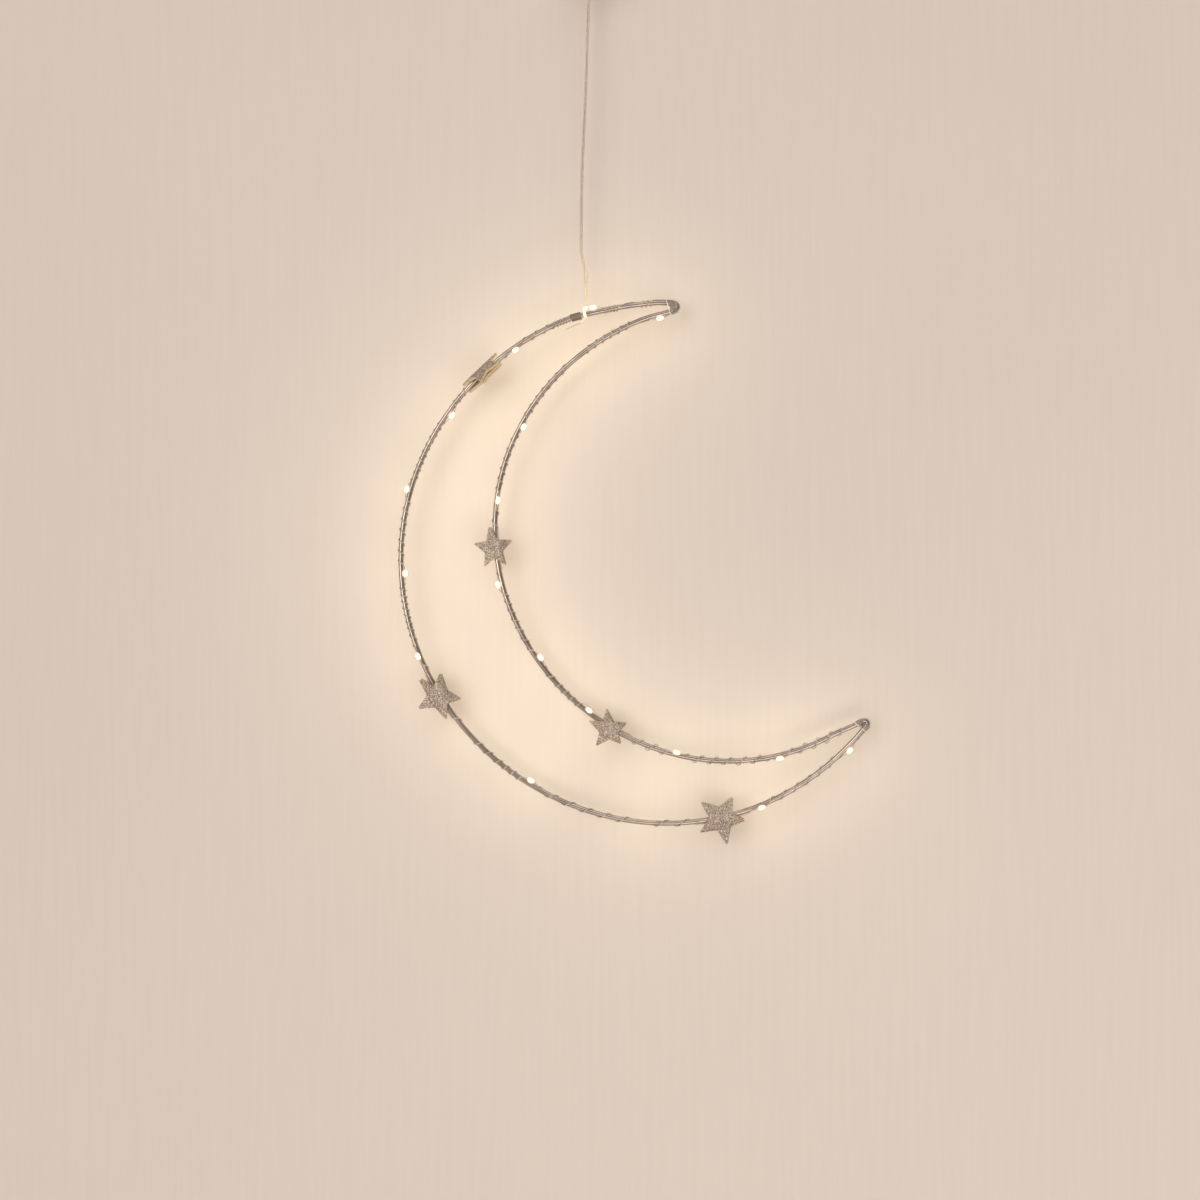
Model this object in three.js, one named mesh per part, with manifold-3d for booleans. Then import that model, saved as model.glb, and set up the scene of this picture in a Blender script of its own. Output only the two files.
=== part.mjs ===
// Moon and star wall light: a crescent of bent rod with a light string wound round it and five
// two-layer stars, hung by its twin lead from a battery box with a hanging eye.
// Millimetres, +Z up. The front faces -Y and the wall is on the +Y side.
// Origin: on the hanging eye's axis, in the plane of the wall. The pieces are made in a group whose own
// zero is the top of the eye, in the plane of the crescent and the lead.
import * as THREE from 'three';
import { mergeVertices } from 'three/addons/utils/BufferGeometryUtils.js';
import Module from 'manifold-3d';

const wasm = await Module();
wasm.setup();
const radians = THREE.MathUtils.degToRad;

// Fits
const seatGap = 0.3; // between two pieces that touch
const slideGap = 0.3; // between a sliding piece and its guide

// Crescent rod
const rodRadius = 1.5;
const rodSides = 8;
const rodStep = 8; // between the rod's rings along its arcs
const outerRadius = 150;
const crescentWidth = 58.2; // between the two arcs where the crescent is widest
const widestAngle = 206.2; // degrees, anticlockwise from +X as seen from the front
const outerBow = 0.9; // how far the hand-bent outer arc leaves its circle
const outerBowAngle = 50;
const innerBow = 1.0;
const innerBowAngle = 47;
const spliceStep = 0.85; // the outer rod's ends lie aside, the right one inwards and the left one outwards
const spliceBend = 3.5; // degrees on each side of the tie over which the rod steps across
const spliceFade = 30; // degrees over which it comes back to its arc
const tipEase = 20; // length over which each arc turns into its tip
const tipClear = 0.2; // inside radius of the hairpin bend at each tip
const upperTipAngle = 87.5;
const upperTipInset = 3.3; // of the bend's centre from the outer circle
const upperTipHeading = 5;
const upperTipTurn = 152; // degrees that the hairpin turns the rod through
const upperInnerInset = 3.9; // of the inner circle from the outer one, at the tip's angle
const lowerTipAngle = 321.2;
const lowerTipInset = 1.4;
const lowerTipHeading = 39.5;
const lowerTipTurn = 163;
const lowerInnerInset = 6.5;

// Light string
const wireRadius = 0.35;
const wireSides = 5;
const curlSteps = 8;
const turnSpread = 1.15; // the model's turns lie this much wider apart than the real, finer ones
const beadRadius = 1.35;
const beadLength = 5;
const beadRamp = 3; // length over which the wire leaves the rod for a bead
const beadSegments = 8;
const tipFlat = 15; // each side of a tip the wire runs along the outside of both rods
const tipStep = 1.5; // between the wire's rings round a tip

// Stars, of two glued foam layers that close over the rod
const starThickness = 1.5;
const starWaist = 0.49; // inner radius over outer radius
const glueHalf = 0.15; // half the glue line between the layers
const channelHalf = 1.9; // half the width of the raised part over rod and wire
const channelFade = 6; // width over which the layer comes back down to the glue line

// Lead and its fastening
const leadRadius = 0.6;
const leadSides = 8;
const leadStep = 3;
const leadDrop = 183.3; // from the box's bushing to the tie
const leadForward = 3.6; // of the lead from the middle of the box, so that every star clears the wall
const tieAngle = 107.5;
const tieWidth = 1.6;
const tieWall = 0.6;
const tieHeadWidth = 1.8;
const tieHeadDepth = 2.2;
const tieLean = 0.6; // the head stands this far to the right of the band
const tieHeadRise = 5.2; // of the head's top over the rod's axis
const tieTailLength = 14;
const sleeveStart = 2.2; // from the tie, along the rod
const sleeveLength = 6;
const sleeveWall = 0.4;

// Battery box
const boxWidth = 34;
const switchBay = 9.8; // height of the space under the cells
const boxDepth = 19;
const boxCorner = 3;
const wall = 1.6;
const eyeRadius = 3.5;
const eyeRim = 2.6; // plastic round the eye
const eyeThickness = 3;
const cellRadius = 7.25;
const cellLength = 50.5; // with its nub
const cellNubRadius = 2.75;
const cellNubHeight = 1.2;
const contactThickness = 0.5;
const springHeight = 4.4;
const springWire = 0.35; // radius
const springWide = 4.2; // radius of the foot curl
const springNarrow = 2.6; // radius of the top curl
const springCurls = 3.5;
const grooveDepth = 0.8;
const tongueThickness = 0.6;
const switchTravel = 3;
const knobWidth = 4;
const knobHeight = 2.4;
const knobProud = 1.5;
const switchWidth = 11;
const switchHeight = 5;
const switchDepth = 4.5;
const boardThickness = 1;
const bushingFlange = 3;
const bushingNose = 1.1;
const bushingLength = 5;

// Materials
const silver = new THREE.MeshStandardMaterial({ color: 0xa79d93, metalness: 0.9, roughness: 0.35 });
const wireSilver = new THREE.MeshStandardMaterial({ color: 0xc9c0b4, metalness: 0.9, roughness: 0.3 });
const bulb = new THREE.MeshStandardMaterial({ color: 0xfff3cf, roughness: 0.25, emissive: 0xffd88a });
const glitter = new THREE.MeshStandardMaterial({ color: 0xb7a999, metalness: 0.4, roughness: 0.5 });
const clear = new THREE.MeshStandardMaterial({ color: 0xe9dcc2, roughness: 0.2 });
const leadSkin = new THREE.MeshStandardMaterial({ color: 0xd8bfa6, roughness: 0.35 });
const boxPlastic = new THREE.MeshStandardMaterial({ color: 0xe6dfd2, roughness: 0.55 });
const knobPlastic = new THREE.MeshStandardMaterial({ color: 0x3a3835, roughness: 0.5 });
const steel = new THREE.MeshStandardMaterial({ color: 0xb9b9b6, metalness: 0.9, roughness: 0.35 });
const cellSkin = new THREE.MeshStandardMaterial({ color: 0x55606a, metalness: 0.3, roughness: 0.4 });
const board = new THREE.MeshStandardMaterial({ color: 0x3f6b4a, roughness: 0.6 });

const light = new THREE.Group();
light.position.set(0, -leadForward - boxDepth / 2, eyeRadius);

function add(name, geometry, material) {
  const mesh = new THREE.Mesh(geometry, material);
  mesh.name = name;
  light.add(mesh);
  return mesh;
}

// Booleans
function solid(geometry) {
  const bare = geometry.clone();
  bare.deleteAttribute('normal');
  bare.deleteAttribute('uv');
  const merged = mergeVertices(bare, 1e-4);
  return new wasm.Manifold(new wasm.Mesh({
    numProp: 3,
    vertProperties: new Float32Array(merged.attributes.position.array),
    triVerts: new Uint32Array(merged.index.array),
  }));
}

function geometryOf(manifold) {
  const mesh = manifold.getMesh();
  const geometry = new THREE.BufferGeometry();
  geometry.setAttribute('position', new THREE.BufferAttribute(mesh.vertProperties, 3));
  geometry.setIndex(new THREE.BufferAttribute(mesh.triVerts, 1));
  return geometry;
}

// Shapes
function box(width, depth, height, x, y, z) {
  return new THREE.BoxGeometry(width, depth, height).translate(x, y, z);
}

// A plate with an outline in X and Z, whose back face is at y = back
function plate(outline, thickness, back) {
  const settings = { depth: thickness, bevelEnabled: false, curveSegments: 3 };
  return new THREE.ExtrudeGeometry(outline, settings).rotateX(Math.PI / 2).translate(0, back, 0);
}

function roundedRectangle(width, height, corner, z) {
  const x = width / 2;
  const low = z - height / 2;
  const high = z + height / 2;
  const quarter = Math.PI / 2;
  const outline = new THREE.Shape();
  outline.moveTo(-x + corner, low);
  outline.absarc(x - corner, low + corner, corner, -quarter, 0);
  outline.absarc(x - corner, high - corner, corner, 0, quarter);
  outline.absarc(-x + corner, high - corner, corner, quarter, 2 * quarter);
  outline.absarc(-x + corner, low + corner, corner, 2 * quarter, 3 * quarter);
  return outline;
}

// A turned piece about Z, from radius and height pairs that start low and go up the outside
function turned(profile, segments) {
  const points = profile.map(([radius, height]) => new THREE.Vector2(radius, height));
  return new THREE.LatheGeometry(points, segments).rotateX(Math.PI / 2);
}

// A tube with closed ends through rings, each with its centre, its heading and a way out of the tube
function tube(rings, radius, sides) {
  const positions = [];
  const index = [];
  for (const { centre, heading, out } of rings) {
    const across = out.clone().addScaledVector(heading, -out.dot(heading)).normalize();
    const beside = new THREE.Vector3().crossVectors(heading, across);
    for (let side = 0; side < sides; side++) {
      const angle = (2 * Math.PI * side) / sides;
      const point = centre.clone()
        .addScaledVector(across, radius * Math.cos(angle))
        .addScaledVector(beside, radius * Math.sin(angle));
      positions.push(point.x, point.y, point.z);
    }
  }
  const last = (rings.length - 1) * sides;
  for (let ring = 0; ring < last; ring += sides) {
    for (let side = 0; side < sides; side++) {
      const next = (side + 1) % sides;
      index.push(ring + side, ring + next, ring + sides + side);
      index.push(ring + next, ring + sides + next, ring + sides + side);
    }
  }
  for (let side = 1; side < sides - 1; side++) {
    index.push(0, side + 1, side);
    index.push(last, last + side, last + side + 1);
  }
  const geometry = new THREE.BufferGeometry();
  geometry.setAttribute('position', new THREE.Float32BufferAttribute(positions, 3));
  geometry.setIndex(index);
  return geometry;
}

// Gives each point of a path its heading, from the points on both sides of it
function withHeadings(path) {
  return path.map(({ centre, out }, i) => {
    const before = path[Math.max(i - 1, 0)].centre;
    const after = path[Math.min(i + 1, path.length - 1)].centre;
    return { centre, out, heading: new THREE.Vector3().subVectors(after, before).normalize() };
  });
}

// Least clear distance between stretches of a tube that are more than a few rings apart
function leastGap(rings, radius, apart) {
  let least = Infinity;
  for (let i = 0; i < rings.length; i++) {
    for (let j = i + apart; j < rings.length; j++) {
      least = Math.min(least, rings[i].centre.distanceTo(rings[j].centre));
    }
  }
  return least - 2 * radius;
}

// Box and lead places, all from the top of the eye
const boxTop = -2 * eyeRadius - eyeRim;
const cellTop = boxTop - wall;
const cellSpace = seatGap + contactThickness + seatGap + cellLength + seatGap + springHeight + seatGap;
const cellFloor = cellTop - cellSpace - contactThickness - seatGap;
const switchRoof = cellFloor - wall;
const switchFloor = switchRoof - switchBay;
const boxBottom = switchFloor - wall;
const boxMiddle = (boxTop + boxBottom) / 2;
const boxHeight = boxTop - boxBottom;
const boxFront = leadForward - boxDepth / 2;
const boxBack = leadForward + boxDepth / 2;
const coverFace = boxFront + wall; // inner face of the cover and the switch plate
const leadTop = boxBottom - seatGap - bushingLength - seatGap;

// The lead's route: how far it stands to the right of its foot, at shares of its drop
const leadFoot = -1.1; // from the middle of the box
const leadSway = [
  [0, 1.2], [0.06, 1.1], [0.16, 0.6], [0.28, 0], [0.4, -0.9], [0.5, -1.8], [0.6, -2.5], [0.7, -2.8],
  [0.8, -2.95], [0.84, -2.8], [0.87, -1.6], [0.9, -0.3], [0.94, 0], [1, 0],
];

// Crescent centreline
const tieRadius = outerRadius + outerBow * Math.cos(3 * radians(tieAngle - outerBowAngle));
const headTop = leadTop - leadDrop - seatGap;
const tiePoint = new THREE.Vector3(leadFoot - tieLean, 0, headTop - tieHeadRise);
const moonCentre = new THREE.Vector3(
  tiePoint.x - tieRadius * Math.cos(radians(tieAngle)), 0,
  tiePoint.z - tieRadius * Math.sin(radians(tieAngle)),
);

function polar(centre, radius, angle) {
  return new THREE.Vector3(
    centre.x + radius * Math.cos(radians(angle)), 0, centre.z + radius * Math.sin(radians(angle)),
  );
}

// An arc bent by hand: its radius swells and dips a little, three times round. Angles in degrees
class BentArc extends THREE.Curve {
  constructor(centre, radius, bow, bowAngle, from, to) {
    super();
    Object.assign(this, { centre, radius, bow, bowAngle, from, to });
  }

  getPoint(t) {
    const angle = this.from + (this.to - this.from) * t;
    return polar(this.centre, this.radiusAt(angle), angle);
  }

  radiusAt(angle) {
    return this.radius + this.bow * Math.cos(3 * radians(angle - this.bowAngle));
  }
}

// The outer arc also steps from one side of its line to the other where its two ends are spliced
class SplicedArc extends BentArc {
  radiusAt(angle) {
    const past = angle - tieAngle;
    const aside = spliceStep * Math.tanh(past / spliceBend) * Math.exp(-((past / spliceFade) ** 2));
    return super.radiusAt(angle) + aside;
  }
}

function circleThrough(a, b, c) {
  const d = 2 * (a.x * (b.z - c.z) + b.x * (c.z - a.z) + c.x * (a.z - b.z));
  const [aa, bb, cc] = [a, b, c].map((p) => p.x * p.x + p.z * p.z);
  const centre = new THREE.Vector3(
    (aa * (b.z - c.z) + bb * (c.z - a.z) + cc * (a.z - b.z)) / d, 0,
    (aa * (c.x - b.x) + bb * (a.x - c.x) + cc * (b.x - a.x)) / d,
  );
  return { centre, radius: centre.distanceTo(a) };
}

function angleFrom(centre, point) {
  const angle = THREE.MathUtils.radToDeg(Math.atan2(point.z - centre.z, point.x - centre.x));
  return (angle + 360) % 360;
}

// A smooth join between the end of one curve and the start of the next
function join(before, after) {
  const start = before.getPoint(1);
  const end = after.getPoint(0);
  const reach = 0.36 * start.distanceTo(end);
  return new THREE.CubicBezierCurve3(
    start, start.clone().addScaledVector(before.getTangent(1), reach),
    end.clone().addScaledVector(after.getTangent(0), -reach), end,
  );
}

const bendRadius = rodRadius + tipClear;
const innerCircle = circleThrough(
  polar(moonCentre, outerRadius - upperInnerInset, upperTipAngle),
  polar(moonCentre, outerRadius - crescentWidth, widestAngle),
  polar(moonCentre, outerRadius - lowerInnerInset, lowerTipAngle),
);
const upperBend = polar(moonCentre, outerRadius - upperTipInset, upperTipAngle);
const lowerBend = polar(moonCentre, outerRadius - lowerTipInset, lowerTipAngle);
const easeOuter = THREE.MathUtils.radToDeg(tipEase / outerRadius);
const easeInner = THREE.MathUtils.radToDeg(tipEase / innerCircle.radius);
const outerArc = new SplicedArc(
  moonCentre, outerRadius, outerBow, outerBowAngle, upperTipAngle + easeOuter, lowerTipAngle - easeOuter,
);
const innerArc = new BentArc(
  innerCircle.centre, innerCircle.radius, innerBow, innerBowAngle,
  angleFrom(innerCircle.centre, lowerBend) - easeInner, angleFrom(innerCircle.centre, upperBend) + easeInner,
);
const hairpin = (bend, heading, turn) =>
  new BentArc(bend, bendRadius, 0, 0, heading - turn / 2, heading + turn / 2);
const lowerHairpin = hairpin(lowerBend, lowerTipHeading, lowerTipTurn);
const upperHairpin = hairpin(upperBend, upperTipHeading, upperTipTurn);

// The loop goes anticlockwise: the outer arc, the lower tip, the inner arc and the upper tip
const loop = new THREE.CurvePath();
const loopPieces = {
  outerArc,
  toLower: join(outerArc, lowerHairpin),
  lowerHairpin,
  fromLower: join(lowerHairpin, innerArc),
  innerArc,
  toUpper: join(innerArc, upperHairpin),
  upperHairpin,
  fromUpper: join(upperHairpin, outerArc),
};
const starts = {};
let loopLength = 0;
for (const [name, curve] of Object.entries(loopPieces)) {
  loop.add(curve);
  starts[name] = loopLength;
  loopLength += curve.getLength();
}

// The rod's centre, its heading and the way out of the loop, at a length along the loop
function onLoop(along) {
  const share = (((along % loopLength) + loopLength) % loopLength) / loopLength;
  const heading = loop.getTangent(share);
  const out = new THREE.Vector3(heading.z, 0, -heading.x);
  return { centre: loop.getPoint(share), heading, out };
}

function alongOuter(angle) {
  return starts.outerArc + (outerArc.getLength() * (angle - outerArc.from)) / (outerArc.to - outerArc.from);
}

function alongInner(angle) {
  return starts.innerArc + (innerArc.getLength() * (angle - innerArc.from)) / (innerArc.to - innerArc.from);
}

const tieAlong = alongOuter(tieAngle);
const lowerApex = starts.lowerHairpin + lowerHairpin.getLength() / 2;
const upperApex = starts.upperHairpin + upperHairpin.getLength() / 2;

// Rods: the outer arc is one length, and the inner arc with both hairpins is the other
function rodBetween(from, to) {
  const rings = [];
  const easeStep = rodStep / 3;
  const bendStep = (Math.PI * bendRadius) / 7;
  for (let along = from; along < to - bendStep / 2;) {
    rings.push(onLoop(along));
    const toApex = Math.min(Math.abs(along - lowerApex), Math.abs(along - upperApex));
    const inBend = toApex < (Math.PI * bendRadius) / 2 + easeStep;
    const inEase = toApex < tipEase + rodStep;
    along += inBend ? bendStep : inEase ? easeStep : rodStep;
  }
  rings.push(onLoop(to));
  return tube(rings, rodRadius, rodSides);
}

const weldHalf = seatGap / 2;
add('outer_rod',
  rodBetween(starts.fromUpper - loopLength + weldHalf, starts.lowerHairpin - weldHalf), silver);
add('inner_rod', rodBetween(starts.lowerHairpin + weldHalf, starts.fromUpper - weldHalf), silver);

// Light string. Sides of the rod, in degrees: 0 is out of the loop, 90 the front, 180 inside, 270 the back
const outside = 0;
const inside = 180;
const outerBack = 274; // behind the rod, where it hides a drop from the front
const innerBack = 266;
const beads = [
  ...[[124.8, 125], [145.2, 155], [164.2, 50], [182.7, 140], [201.2, 75], [221, outerBack], [238.7, 140],
    [265, outerBack], [291.7, 70], [314.6, 45],
  ].map(([angle, side]) => ({ along: alongOuter(angle), side })),
  ...[[283.3, 120], [257.3, 60], [232.6, 65], [214.4, 45], [193.4, 140], [172.4, 75], [152.7, 50],
    [130.5, innerBack], [107.1, 35],
  ].map(([angle, side]) => ({ along: alongInner(angle), side })),
  { along: alongOuter(105.4) + loopLength, side: outside },
];

// How the string is wound: from each place on, the real turns' pitch, and how far they hang off on the inside
const stretches = [
  ...[[107, 3.4, 0.3], [117, 8, 0.3], [136, 4.4, 0.3], [162, 5.8, 0.4], [184, 3.8, 1.2], [196, 6, 0.6],
    [214, 7.5, 0.3], [231, 5, 0.8], [237, 11, 0.3], [286, 8, 0],
  ].map(([angle, pitch, slack]) => ({ from: alongOuter(angle), pitch, slack })),
  ...[[306, 8.5, 0], [284, 8, 0.3], [258, 9, 0.3], [237, 5, 0.4], [222, 7.5, 0.3], [205, 5.8, 0.3],
    [181, 6.2, 0.3], [153, 6, 0.3], [134.5, 14, 0], [128, 5.6, 0.4], [114.5, 26, 0],
  ].map(([angle, pitch, slack]) => ({ from: alongInner(angle), pitch, slack })),
];

const stars = [
  { along: alongOuter(133.4), radius: 13.6, offset: 1, tip: 29, tilt: 67, backTurn: 3 },
  { along: alongOuter(211.1), radius: 13.3, offset: 1.3, tip: 71, tilt: 0, backTurn: -4 },
  { along: alongOuter(282.8), radius: 14.1, offset: 1.25, tip: 67.8, tilt: 0, backTurn: 3 },
  { along: alongInner(239.7), radius: 11.3, offset: -1.3, tip: 91, tilt: 0, backTurn: 3 },
  { along: alongInner(184.4), radius: 11.6, offset: -1.2, tip: 97, tilt: 0, backTurn: -3 },
];

const wireSeat = rodRadius + seatGap + wireRadius;
const beadSeat = rodRadius + seatGap + beadRadius;
const beadHalf = beadLength / 2;
const sleeveEnd = tieAlong + sleeveStart + sleeveLength;
const wireStart = sleeveEnd + seatGap;
const wireEnd = tieAlong + loopLength - tieHeadWidth / 2 - tieLean - 2 * seatGap;

// Where the wire runs straight along the rod: its side, its reach each way and its bead, if any
const rests = [
  { along: wireStart, side: outside, reach: 0 },
  { along: lowerApex, side: outside, reach: tipFlat, step: tipStep },
  { along: upperApex, side: outside, reach: tipFlat, step: tipStep },
  ...stars.map(({ along, radius, tilt }) => (
    { along, side: outside - tilt, reach: radius, step: radius / 2 })),
  ...beads.map(({ along, side }) => ({ along, side, reach: beadHalf + beadRamp, bead: true })),
].sort((a, b) => a.along - b.along);

function stretchAt(along) {
  return stretches.findLast(({ from }) => from <= along) ?? stretches[0];
}

function wirePoint(along, side, distance) {
  const { centre, out } = onLoop(along);
  const towardsFront = new THREE.Vector3(0, -Math.sin(radians(side)), 0);
  const way = out.multiplyScalar(Math.cos(radians(side))).add(towardsFront);
  return { centre: centre.addScaledVector(way, distance), out: way };
}

function seatAt(along) {
  const past = Math.min(...beads.map((bead) => Math.abs(along - bead.along))) - beadHalf;
  const share = THREE.MathUtils.clamp(1 - past / beadRamp, 0, 1);
  return wireSeat + (beadSeat - wireSeat) * share;
}

// Places along the rod at equal parts of the turns between two places, closer where the pitch is finer
function windingPlaces(from, to, parts) {
  const sampleStep = (to - from) / 200;
  const turns = [0];
  for (let i = 0; i < 200; i++) {
    const { pitch } = stretchAt(from + (i + 0.5) * sampleStep);
    turns.push(turns[i] + sampleStep / pitch);
  }
  const places = [];
  for (let part = 0; part < parts; part++) {
    const wanted = (turns[200] * part) / parts;
    const after = Math.max(1, turns.findIndex((turn) => turn >= wanted));
    const share = (wanted - turns[after - 1]) / (turns[after] - turns[after - 1]);
    places.push(from + (after - 1 + share) * sampleStep);
  }
  return { places, turns: turns[200] / turnSpread };
}

function lightWire() {
  const path = [];
  let side = rests[0].side;
  let curls = 0;
  const put = (along, angle, slack) => path.push(wirePoint(along, angle, seatAt(along) + slack));
  const alongRest = ({ along, reach, step, bead }) => {
    const places = bead ? [-reach, -beadHalf, 0, beadHalf, reach] : [0];
    for (let past = step; past <= reach + 1e-6; past += step) places.push(past, -past);
    return places.sort((a, b) => a - b).map((place) => along + place)
      .filter((at) => at >= wireStart && at <= wireEnd);
  };
  let reached = wireStart;
  for (const rest of rests) {
    const from = reached;
    const to = Math.min(rest.along - rest.reach, wireEnd);
    if (to > from) {
      const remainder = (((rest.side - side) % 360) + 360) % 360;
      const { turns } = windingPlaces(from, to, 1);
      const turn = remainder + 360 * Math.max(0, Math.round(turns - remainder / 360));
      const parts = Math.max(1, Math.ceil((turn / 360) * curlSteps));
      windingPlaces(from, to, parts).places.forEach((along, part) => {
        const angle = side + (turn * part) / parts;
        const fade = Math.min(1, (2 * part) / curlSteps, (2 * (parts - part)) / curlSteps);
        put(along, angle, (fade * stretchAt(along).slack * (1 - Math.cos(radians(angle)))) / 2);
      });
      side += turn;
      curls += turn / 360;
    }
    for (const at of alongRest(rest)) {
      if (at >= Math.max(from, to) - 1e-6) put(at, side, 0);
    }
    reached = Math.max(reached, Math.min(rest.along + rest.reach, wireEnd));
  }
  if (reached < wireEnd - 1e-6) put(wireEnd, side, 0);
  const spaced = path.filter((p, i) => i === 0 || p.centre.distanceTo(path[i - 1].centre) > wireRadius / 2);
  return { rings: withHeadings(spaced), curls };
}

const { rings: wireRings, curls: wireCurls } = lightWire();
add('light_string_wire', tube(wireRings, wireRadius, wireSides), wireSilver);
console.log(`light_string_wire: ${wireCurls.toFixed(1)} curls, least gap to itself `
  + `${leastGap(wireRings, wireRadius, 4).toFixed(2)} mm`);

// A cast drop with a bore for the wire, its long axis along the rod
function beadSolid() {
  const bore = wireRadius + seatGap;
  const widest = Math.acos(bore / beadRadius);
  const profile = [];
  const steps = 6;
  for (let step = 0; step <= steps; step++) {
    const angle = widest * ((2 * step) / steps - 1);
    profile.push([beadRadius * Math.cos(angle), beadHalf * Math.sin(angle)]);
  }
  profile.push(profile[0]);
  return turned(profile, beadSegments);
}

beads.forEach(({ along, side }, i) => {
  const mesh = add(`led_bead_${String(i + 1).padStart(2, '0')}`, beadSolid(), bulb);
  mesh.position.copy(wirePoint(along, side, beadSeat).centre);
  mesh.quaternion.setFromUnitVectors(new THREE.Vector3(0, 0, 1), onLoop(along).heading);
});

// Stars, made with X along the rod, Y to the back and Z to the inside of the loop
function starOutline(radius, offset, tip) {
  const outline = new THREE.Shape();
  for (let corner = 0; corner < 10; corner++) {
    const reach = corner % 2 ? radius * starWaist : radius;
    const angle = radians(tip + 36 * corner);
    const [x, z] = [reach * Math.cos(angle), reach * Math.sin(angle) - offset];
    if (corner) outline.lineTo(x, z);
    else outline.moveTo(x, z);
  }
  return outline;
}

// One foam layer's section across the rod: flat at the glue line and raised over rod and wire
function layerSection(halfWidth) {
  const crest = rodRadius + seatGap;
  const shares = [1, 0.84, 0.67, 0.5, 0.33, 0.16, 0];
  const slope = shares.map((share) => {
    const height = glueHalf + ((crest - glueHalf) * (1 - Math.cos(Math.PI * (1 - share)))) / 2;
    return [channelHalf + channelFade * share, height];
  });
  const under = [
    [-halfWidth, glueHalf], ...slope.map(([z, y]) => [-z, y]), ...slope.toReversed(), [halfWidth, glueHalf],
  ];
  const over = under.toReversed().map(([z, y]) => [z, y + starThickness]);
  return new THREE.Shape([...under, ...over].map(([z, y]) => new THREE.Vector2(z, y)));
}

function starLayer({ radius, offset }, tip, toBack) {
  const reach = radius * 1.3 + Math.abs(offset);
  const settings = { depth: 2 * reach, bevelEnabled: false };
  const sheet = new THREE.ExtrudeGeometry(layerSection(reach), settings)
    .translate(0, 0, -reach).rotateY(Math.PI / 2);
  if (!toBack) sheet.rotateX(Math.PI);
  const deep = 2 * (rodRadius + starThickness + 1);
  const cutter = plate(starOutline(radius, offset, tip), deep, deep / 2);
  return geometryOf(solid(sheet).intersect(solid(cutter)));
}

stars.forEach((star, i) => {
  const { centre, heading } = onLoop(star.along);
  const inward = new THREE.Vector3(-heading.z, 0, heading.x);
  centre.addScaledVector(inward, star.radius ** 2 / (4 * outerRadius)); // halfway into the rod's bow
  const turn = new THREE.Matrix4().makeBasis(heading, new THREE.Vector3(0, 1, 0), inward);
  const tilt = new THREE.Matrix4().makeRotationX(radians(star.tilt));
  const tip = star.tip - angleFrom(new THREE.Vector3(), heading);
  for (const [layer, toBack, extra] of [['front', false, 0], ['back', true, star.backTurn]]) {
    const mesh = add(`star_${i + 1}_${layer}`, starLayer(star, tip + extra, toBack), glitter);
    mesh.quaternion.setFromRotationMatrix(turn.clone().multiply(tilt));
    mesh.position.copy(centre);
  }
});

// Clear sleeve over the splice, beside the tie
function ringOnRod(along, length, inner, outer, segments) {
  const half = length / 2;
  const section = [[inner, -half], [outer, -half], [outer, half], [inner, half], [inner, -half]];
  const ring = turned(section, segments);
  const { centre, heading } = onLoop(along);
  const turn = new THREE.Quaternion().setFromUnitVectors(new THREE.Vector3(0, 0, 1), heading);
  return ring.applyQuaternion(turn).translate(centre.x, centre.y, centre.z);
}

const hugRadius = rodRadius + seatGap;
add('splice_sleeve',
  ringOnRod(tieAlong + sleeveStart + sleeveLength / 2, sleeveLength, hugRadius, hugRadius + sleeveWall, 10),
  clear);

// Tie: a band round the rod, a head that grips the lead's end, and the strap's tail below the rod
function leadTie() {
  const band = solid(ringOnRod(tieAlong, tieWidth, hugRadius, hugRadius + tieWall, 12));
  const headFoot = hugRadius + tieWall * 0.7;
  const head = solid(box(
    tieHeadWidth, tieHeadDepth, tieHeadRise - headFoot,
    leadFoot, 0, tiePoint.z + (tieHeadRise + headFoot) / 2,
  ));
  const tail = [];
  for (const share of [0, 0.12, 0.3, 0.55, 0.8, 1]) {
    const past = share * tieTailLength;
    const lift = 2.1 * Math.min(1, share * 3) + share;
    const { centre, out } = wirePoint(tieAlong + past, inside, hugRadius + tieWall / 2 + lift);
    tail.push({ centre, out });
  }
  const strap = solid(tube(withHeadings(tail), tieWall / 2, 6));
  return geometryOf(band.add(head).add(strap));
}

add('lead_tie', leadTie(), clear);

// Lead, from under the bushing to the tie's head
function leadTube() {
  const route = new THREE.CatmullRomCurve3(leadSway.map(([share, sway]) => (
    new THREE.Vector3(leadFoot + sway, 0, leadTop - leadDrop * share)
  )));
  const steps = Math.round(leadDrop / leadStep);
  const section = new THREE.Shape();
  section.absarc(0, 0, leadRadius, 0, 2 * Math.PI);
  const settings = { steps, extrudePath: route, curveSegments: leadSides / 2 };
  return new THREE.ExtrudeGeometry(section, settings);
}

add('lead_wire', leadTube(), leadSkin);

// Battery box housing, open at the front
const innerWidth = boxWidth - 2 * wall;
const linkFace = cellTop - seatGap - contactThickness;
const plateTop = (cellFloor + switchRoof) / 2;
const grooveFront = coverFace - wall / 2 - tongueThickness / 2 - slideGap;
const grooveBack = coverFace - wall / 2 + tongueThickness / 2 + slideGap;
const cavityBack = boxBack - wall;
const bushingBore = bushingFlange - 0.8;

function uprightCutter(radius, from, to) {
  return new THREE.CylinderGeometry(radius, radius, to - from, 16)
    .rotateX(Math.PI / 2).translate(0, 0, (from + to) / 2);
}

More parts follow.
